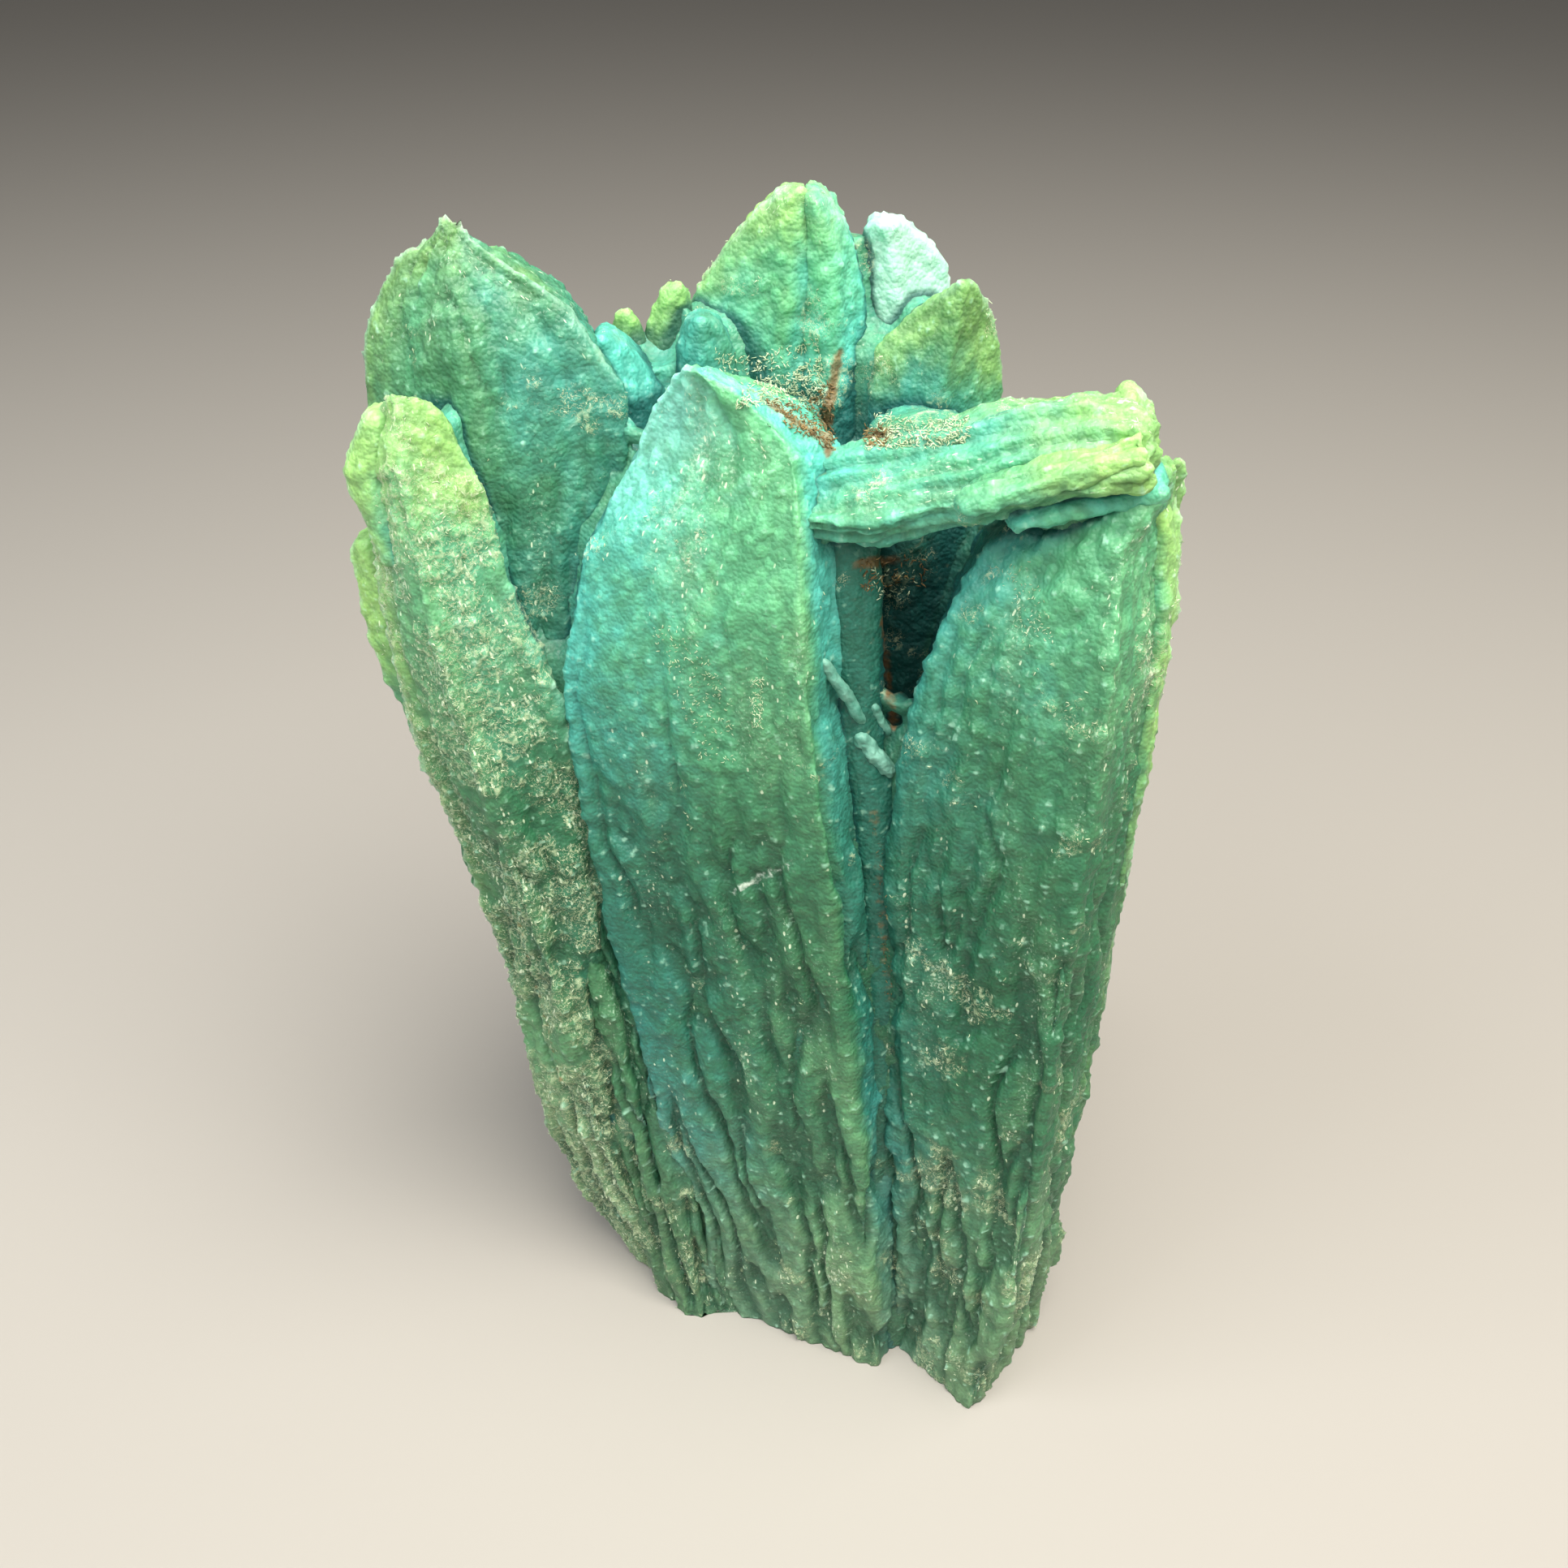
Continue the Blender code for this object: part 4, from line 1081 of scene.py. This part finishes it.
def chrysocolla():
    """Chrysocolla, a waxy hydrous copper silicate, here as a druse on and in the azurite
    that it replaced: cloudy and faintly see-through, so light softens in it, sugary on the
    surface, teal, with painted shade in its creases and hollows and painted light that
    brightens it towards the top, and yellow-green where the blades thin out."""
    material = bpy.data.materials.new("chrysocolla druse")
    material.use_nodes = True
    tree = material.node_tree
    tree.nodes.clear()
    place = add_node(tree, "ShaderNodeTexCoord").outputs["Object"]
    height = add_node(tree, "ShaderNodeSeparateXYZ", {0: place}).outputs["Z"]
    noted = {
        name: add_node(tree, "ShaderNodeAttribute", attribute_name=name).outputs["Fac"]
        for name in (
            "shelter", "groove", "ridge", "globule", "pearl", "crumb", "worm",
            "lime", "teal", "frost_and_highlight", "rim", "pale", "painted_shade", "rust", "scuff",
        )
    }
    noted["height"] = height
    # Painted shade: strongest at one height across the blades and fading above and below it
    from_middle = add_node(tree, "ShaderNodeMath", {0: height, 1: SHADE_BAND_HEIGHT}, operation="SUBTRACT")
    off_middle = add_node(tree, "ShaderNodeMath", {0: from_middle}, operation="ABSOLUTE")
    noted["middle"] = add_node(
        tree,
        "ShaderNodeMapRange",
        {"Value": off_middle, "From Max": SHADE_BAND_HALF, "To Min": 1.0, "To Max": 0.0},
    ).outputs[0]

    # Clouds of deeper and paler green, and specks down to the size of a sugary grain, in mm
    for name, size in (("cloud", 4.0), ("mottle", 1.2), ("fleck", 0.5), ("speck", 0.16), ("dust_and_glint", 0.07)):
        noted[name] = add_node(
            tree,
            "ShaderNodeTexNoise",
            {"Vector": place, "Scale": 1 / (size * MM), "Detail": 3.0, "Roughness": 0.6},
        ).outputs["Fac"]

    # Streaks of colour and thin pale strokes that follow the growth, and crooked threads
    # where crumbs lie
    growth = add_node(tree, "ShaderNodeAttribute", attribute_name="growth").outputs["Vector"]
    drawn_out = add_node(
        tree, "ShaderNodeVectorMath", {0: growth, 1: (11.0, 11.0, 3.6)}, operation="MULTIPLY"
    )
    long_drawn = add_node(
        tree, "ShaderNodeVectorMath", {0: growth, 1: (1.0, 1.0, 0.22)}, operation="MULTIPLY"
    )
    noted["streak"] = add_node(
        tree, "ShaderNodeTexNoise", {"Vector": long_drawn, "Scale": 1.0, "Detail": 4.0, "Roughness": 0.6}
    ).outputs["Fac"]
    stroke_cell = add_node(tree, "ShaderNodeTexVoronoi", {"Vector": drawn_out, "Scale": 1.0})
    few = add_node(tree, "ShaderNodeSeparateColor", {0: stroke_cell.outputs["Color"]})
    near = add_node(
        tree,
        "ShaderNodeMapRange",
        {"Value": stroke_cell.outputs["Distance"], "From Min": 0.5, "From Max": 0.2},
    )
    noted["stroke"] = add_node(tree, "ShaderNodeMath", {0: few.outputs[0], 1: near}, operation="MULTIPLY")
    crook = add_node(
        tree,
        "ShaderNodeTexNoise",
        {"Vector": place, "Scale": 1 / (0.13 * MM), "Detail": 2.0, "Roughness": 0.6},
        normalize=False,
    )
    line = add_node(tree, "ShaderNodeMath", {0: crook}, operation="ABSOLUTE")
    thread = add_node(tree, "ShaderNodeMapRange", {"Value": line, "From Min": 0.14, "From Max": 0.02})
    noted["thread"] = add_node(
        tree, "ShaderNodeMath", {0: thread, 1: noted["crumb"]}, operation="MULTIPLY"
    )

    # Each layer of colour: over the ones before it, by a sum of what was noted, between two
    # levels of that sum, and how much of it there is at most
    # Painted light: both greens run from dark low down to bright at the top, as if lit from above, and
    # painted shade moves a blade's ramp darker
    greens_lit_from_above = {
        "low green": (
            "#2b6a4a", "#68b984", (("height", 1000.0), ("cloud", 6.0), ("painted_shade", -8.0)), 17.0, 34.0
        ),
        "teal": ("#2a7c76", "#5abfae", (("height", 1000.0), ("cloud", 6.0), ("painted_shade", -8.0)), 17.0, 34.0),
    }
    layers = (
        ("teal", (("teal", 1.0), ("cloud", 1.4), ("fleck", 0.7), ("shelter", 0.5)), 1.15, 2.2, 1.0),
        # Partly a painted highlight: pale cyan brightening the upper left face of a blade
        ("#8edcc8", (("frost_and_highlight", 1.0), ("fleck", 0.5), ("mottle", 0.5)), 0.6, 1.4, 0.75),
        ("#9bc465", (("lime", 1.0), ("mottle", 0.9), ("fleck", 0.4)), 0.85, 1.5, 0.75),
        ("#84bb80", (("streak", 1.0), ("cloud", 0.8), ("teal", -0.35)), 0.75, 1.15, 0.45),
        ("#728a64", (("height", -100.0), ("mottle", 0.9), ("crumb", 0.5)), -0.9, 0.5, 0.6),
        # Painted shade: a darker band across the blades, and whole blades darkened where they stand behind
        # others, broken by streaks
        ("#17502f", (("middle", 1.0), ("streak", 0.7), ("painted_shade", 1.0)), 0.55, 1.4, 0.6),
        # Painted shade: darker green in the grooves between the ribs, less of it high up
        (
            "#11452f",
            (("groove", 1.0), ("ridge", -0.25), ("fleck", 0.4), ("height", -16.0)), 0.12, 0.62, 0.7,
        ),
        # Painted shade: darker green between the globules and pearls
        ("#0f4a36", (("pearl", -0.7), ("fleck", -0.5), ("globule", -1.2)), -0.5, -0.2, 0.3),
        # Pale flecks gathered on the tops of the pearls and globules: partly a painted highlight
        ("#aadcc0", (("pearl", 0.8), ("fleck", 1.0), ("globule", 0.2)), 1.0, 1.4, 0.45),
        ("#b9e0cb", (("pale", 1.0), ("fleck", 0.8)), 0.9, 1.5, 0.75),
        # Painted shade: dark teal in the creases and hollows, by how enclosed each point is
        ("#064a48", (("shelter", 1.0),), 0.65, 1.05, 0.85),
        ("#bfe6cf", (("rim", 1.0), ("fleck", 0.9), ("speck", 0.5), ("shelter", -1.2)), 1.1, 1.8, 0.35),
        ("#cbcda4", (("thread", 1.0), ("speck", 0.6)), 0.7, 1.1, 0.55),
        ("#b5c39a", (("worm", 1.0), ("speck", 0.6)), 0.6, 1.2, 0.45),
        # Pale specks in streaks: partly sugary grains and partly painted glints, fewer where the surface
        # is enclosed
        ("#cfe6cc", (("dust_and_glint", 1.0), ("streak", 0.6), ("crumb", 0.07), ("shelter", -0.5)), 0.93, 1.1, 0.35),
        (
            "#e3efcf",
            (("stroke", 1.0), ("streak", 1.6), ("crumb", 0.2), ("shelter", -1.0)), 1.62, 1.85, 0.6,
        ),
        ("#83592b", (("rust", 1.0), ("fleck", 0.9), ("speck", 0.5)), 0.85, 1.4, 0.75),
        ("#6c4a28", (("rust", 1.0), ("speck", 1.0)), 1.15, 1.6, 0.55),
        ("#dfeadb", (("scuff", 1.0), ("speck", 1.4)), 0.9, 1.5, 0.7),
    )
    mixed = {}
    for name, (below, above, parts, low, high) in greens_lit_from_above.items():
        total = weighted_sum(tree, noted, parts)
        share = add_node(tree, "ShaderNodeMapRange", {"Value": total, "From Min": low, "From Max": high})
        mixed[name] = add_node(
            tree,
            "ShaderNodeMix",
            {0: share, 6: hex_colour(below), 7: hex_colour(above)},
            data_type="RGBA",
        ).outputs[2]
    colour = mixed["low green"]
    for over, parts, low, high, most in layers:
        total = weighted_sum(tree, noted, parts)
        share = add_node(
            tree,
            "ShaderNodeMapRange",
            {"Value": total, "From Min": low, "From Max": high, "To Max": most},
            interpolation_type="SMOOTHSTEP",
        )
        over = mixed[over] if over in mixed else hex_colour(over)
        mix = add_node(tree, "ShaderNodeMix", {0: share, 6: colour, 7: over}, data_type="RGBA")
        colour = mix.outputs[2]

    # Grains a tenth of a millimetre across, drawn by bump over the modelled ones
    grains = add_node(tree, "ShaderNodeTexVoronoi", {"Vector": place, "Scale": 1 / (0.11 * MM)})
    fine = add_node(
        tree,
        "ShaderNodeTexNoise",
        {"Vector": place, "Scale": 1 / (0.14 * MM), "Detail": 3.0, "Roughness": 0.6},
    )
    uneven = add_node(
        tree,
        "ShaderNodeMath",
        {0: fine.outputs["Fac"], 1: grains.outputs["Distance"]},
        operation="SUBTRACT",
    )
    with_threads = add_node(
        tree, "ShaderNodeMath", {0: noted["thread"], 1: 0.8, 2: uneven}, operation="MULTIPLY_ADD"
    )
    bump = add_node(tree, "ShaderNodeBump", {"Height": with_threads, "Strength": 0.4, "Distance": 0.00008})
    roughness = add_node(
        tree,
        "ShaderNodeMapRange",
        {"Value": noted["speck"], "From Min": 0.4, "From Max": 0.8, "To Min": 0.6, "To Max": 0.35},
    )
    shader = add_node(
        tree,
        "ShaderNodeBsdfPrincipled",
        {
            "Base Color": colour,
            "Roughness": roughness,
            "IOR": 1.5,
            "Subsurface Weight": 0.4,
            "Subsurface Radius": (0.8, 1.0, 0.95),
            "Subsurface Scale": 0.0006,
            "Normal": bump,
        },
    )
    output = add_node(tree, "ShaderNodeOutputMaterial")
    tree.links.new(shader.outputs[0], output.inputs["Surface"])
    return material


def pale_floor():
    """A matte pale board."""
    bpy.ops.object.select_all(action="DESELECT")
    bpy.ops.mesh.primitive_plane_add(size=1.6)
    floor = bpy.context.object
    floor.name = "floor"
    material = bpy.data.materials.new("pale board")
    material.use_nodes = True
    shader = material.node_tree.nodes["Principled BSDF"]
    shader.inputs["Base Color"].default_value = hex_colour("#9b9790")
    shader.inputs["Roughness"].default_value = 0.8
    floor.data.materials.append(material)


def soft_light(name, place, target, size, power, colour):
    """A square soft box that faces a point."""
    lamp = bpy.data.lights.new(name, "AREA")
    lamp.shape = "SQUARE"
    lamp.size = size
    lamp.energy = power
    lamp.color = hex_colour(colour)[:3]
    holder = bpy.data.objects.new(name, lamp)
    holder.location = place
    holder.rotation_euler = (Vector(target) - Vector(place)).to_track_quat("-Z", "Y").to_euler()
    bpy.context.scene.collection.objects.link(holder)


def studio():
    """Camera, lights and world."""
    lens = bpy.data.cameras.new("camera")
    lens.sensor_width = SENSOR
    lens.lens = SENSOR * FOCAL_PIXELS / PHOTO_PIXELS
    lens.clip_start = 0.001
    camera = bpy.data.objects.new("camera", lens)
    camera.location = TO_ORIGIN @ Vector(CAMERA_PLACE)
    camera.rotation_euler = (math.radians(90 - CAMERA_PITCH), 0, 0)
    bpy.context.scene.collection.objects.link(camera)
    bpy.context.scene.camera = camera
    soft_light("top softbox", (0.035, -0.055, 0.15), (0, 0, 0.02), 0.11, 0.6, "#fffaf2")
    soft_light("left softbox", (-0.09, -0.05, 0.12), (0, 0, 0.028), 0.08, 0.13, "#f6faff")
    soft_light("front fill", (-0.15, -0.30, 0.22), (0, 0, 0.015), 0.25, 0.4, "#f4f8ff")
    world = bpy.data.worlds.new("studio")
    world.use_nodes = True
    world.node_tree.nodes["Background"].inputs["Color"].default_value = hex_colour("#f2f0ec")
    world.node_tree.nodes["Background"].inputs["Strength"].default_value = 0.2
    bpy.context.scene.world = world
    bpy.context.scene.view_settings.view_transform = "Standard"


def main():
    studio()
    fused = fused_cages()
    around = fused.copy()
    around.data = fused.data.copy()
    bpy.context.scene.collection.objects.link(around)
    apply_modifier(around, "REMESH", mode="VOXEL", voxel_size=SHELTER_MESH)
    tree = surface_tree(around)
    druse = chrysocolla()
    pieces = [
        grow(name, blade, tree, seed) for seed, (name, blade) in enumerate((BLADES | CROSSING).items())
    ]
    pieces.append(fill_creases(fused, tree))
    bpy.data.objects.remove(around)
    note_marks(pieces, "rust", RUST)
    note_marks(pieces, "scuff", SCUFFS)
    finishes = {body: druse for body in pieces}
    pale = crumb_finish("calcite and clay crumbs", ("#a2b78c", "#cfdcb8"), 0.8)
    stained = crumb_finish("iron-stained crumbs", ("#5c4326", "#8f7848"), 0.85)
    rod_skin = crumb_finish("pale chrysocolla skin", ("#468573", "#76ac99"), 0.5)
    for name, body in crumb_pieces(pieces).items():
        finishes[body] = stained if name == "stained_crumbs" else pale
    for rod in pale_rods(pieces):
        finishes[rod] = rod_skin
    for body, finish in finishes.items():
        body.data.materials.append(finish)
        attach(body, "root")
        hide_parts("crystal_spray")
    pale_floor()


main()
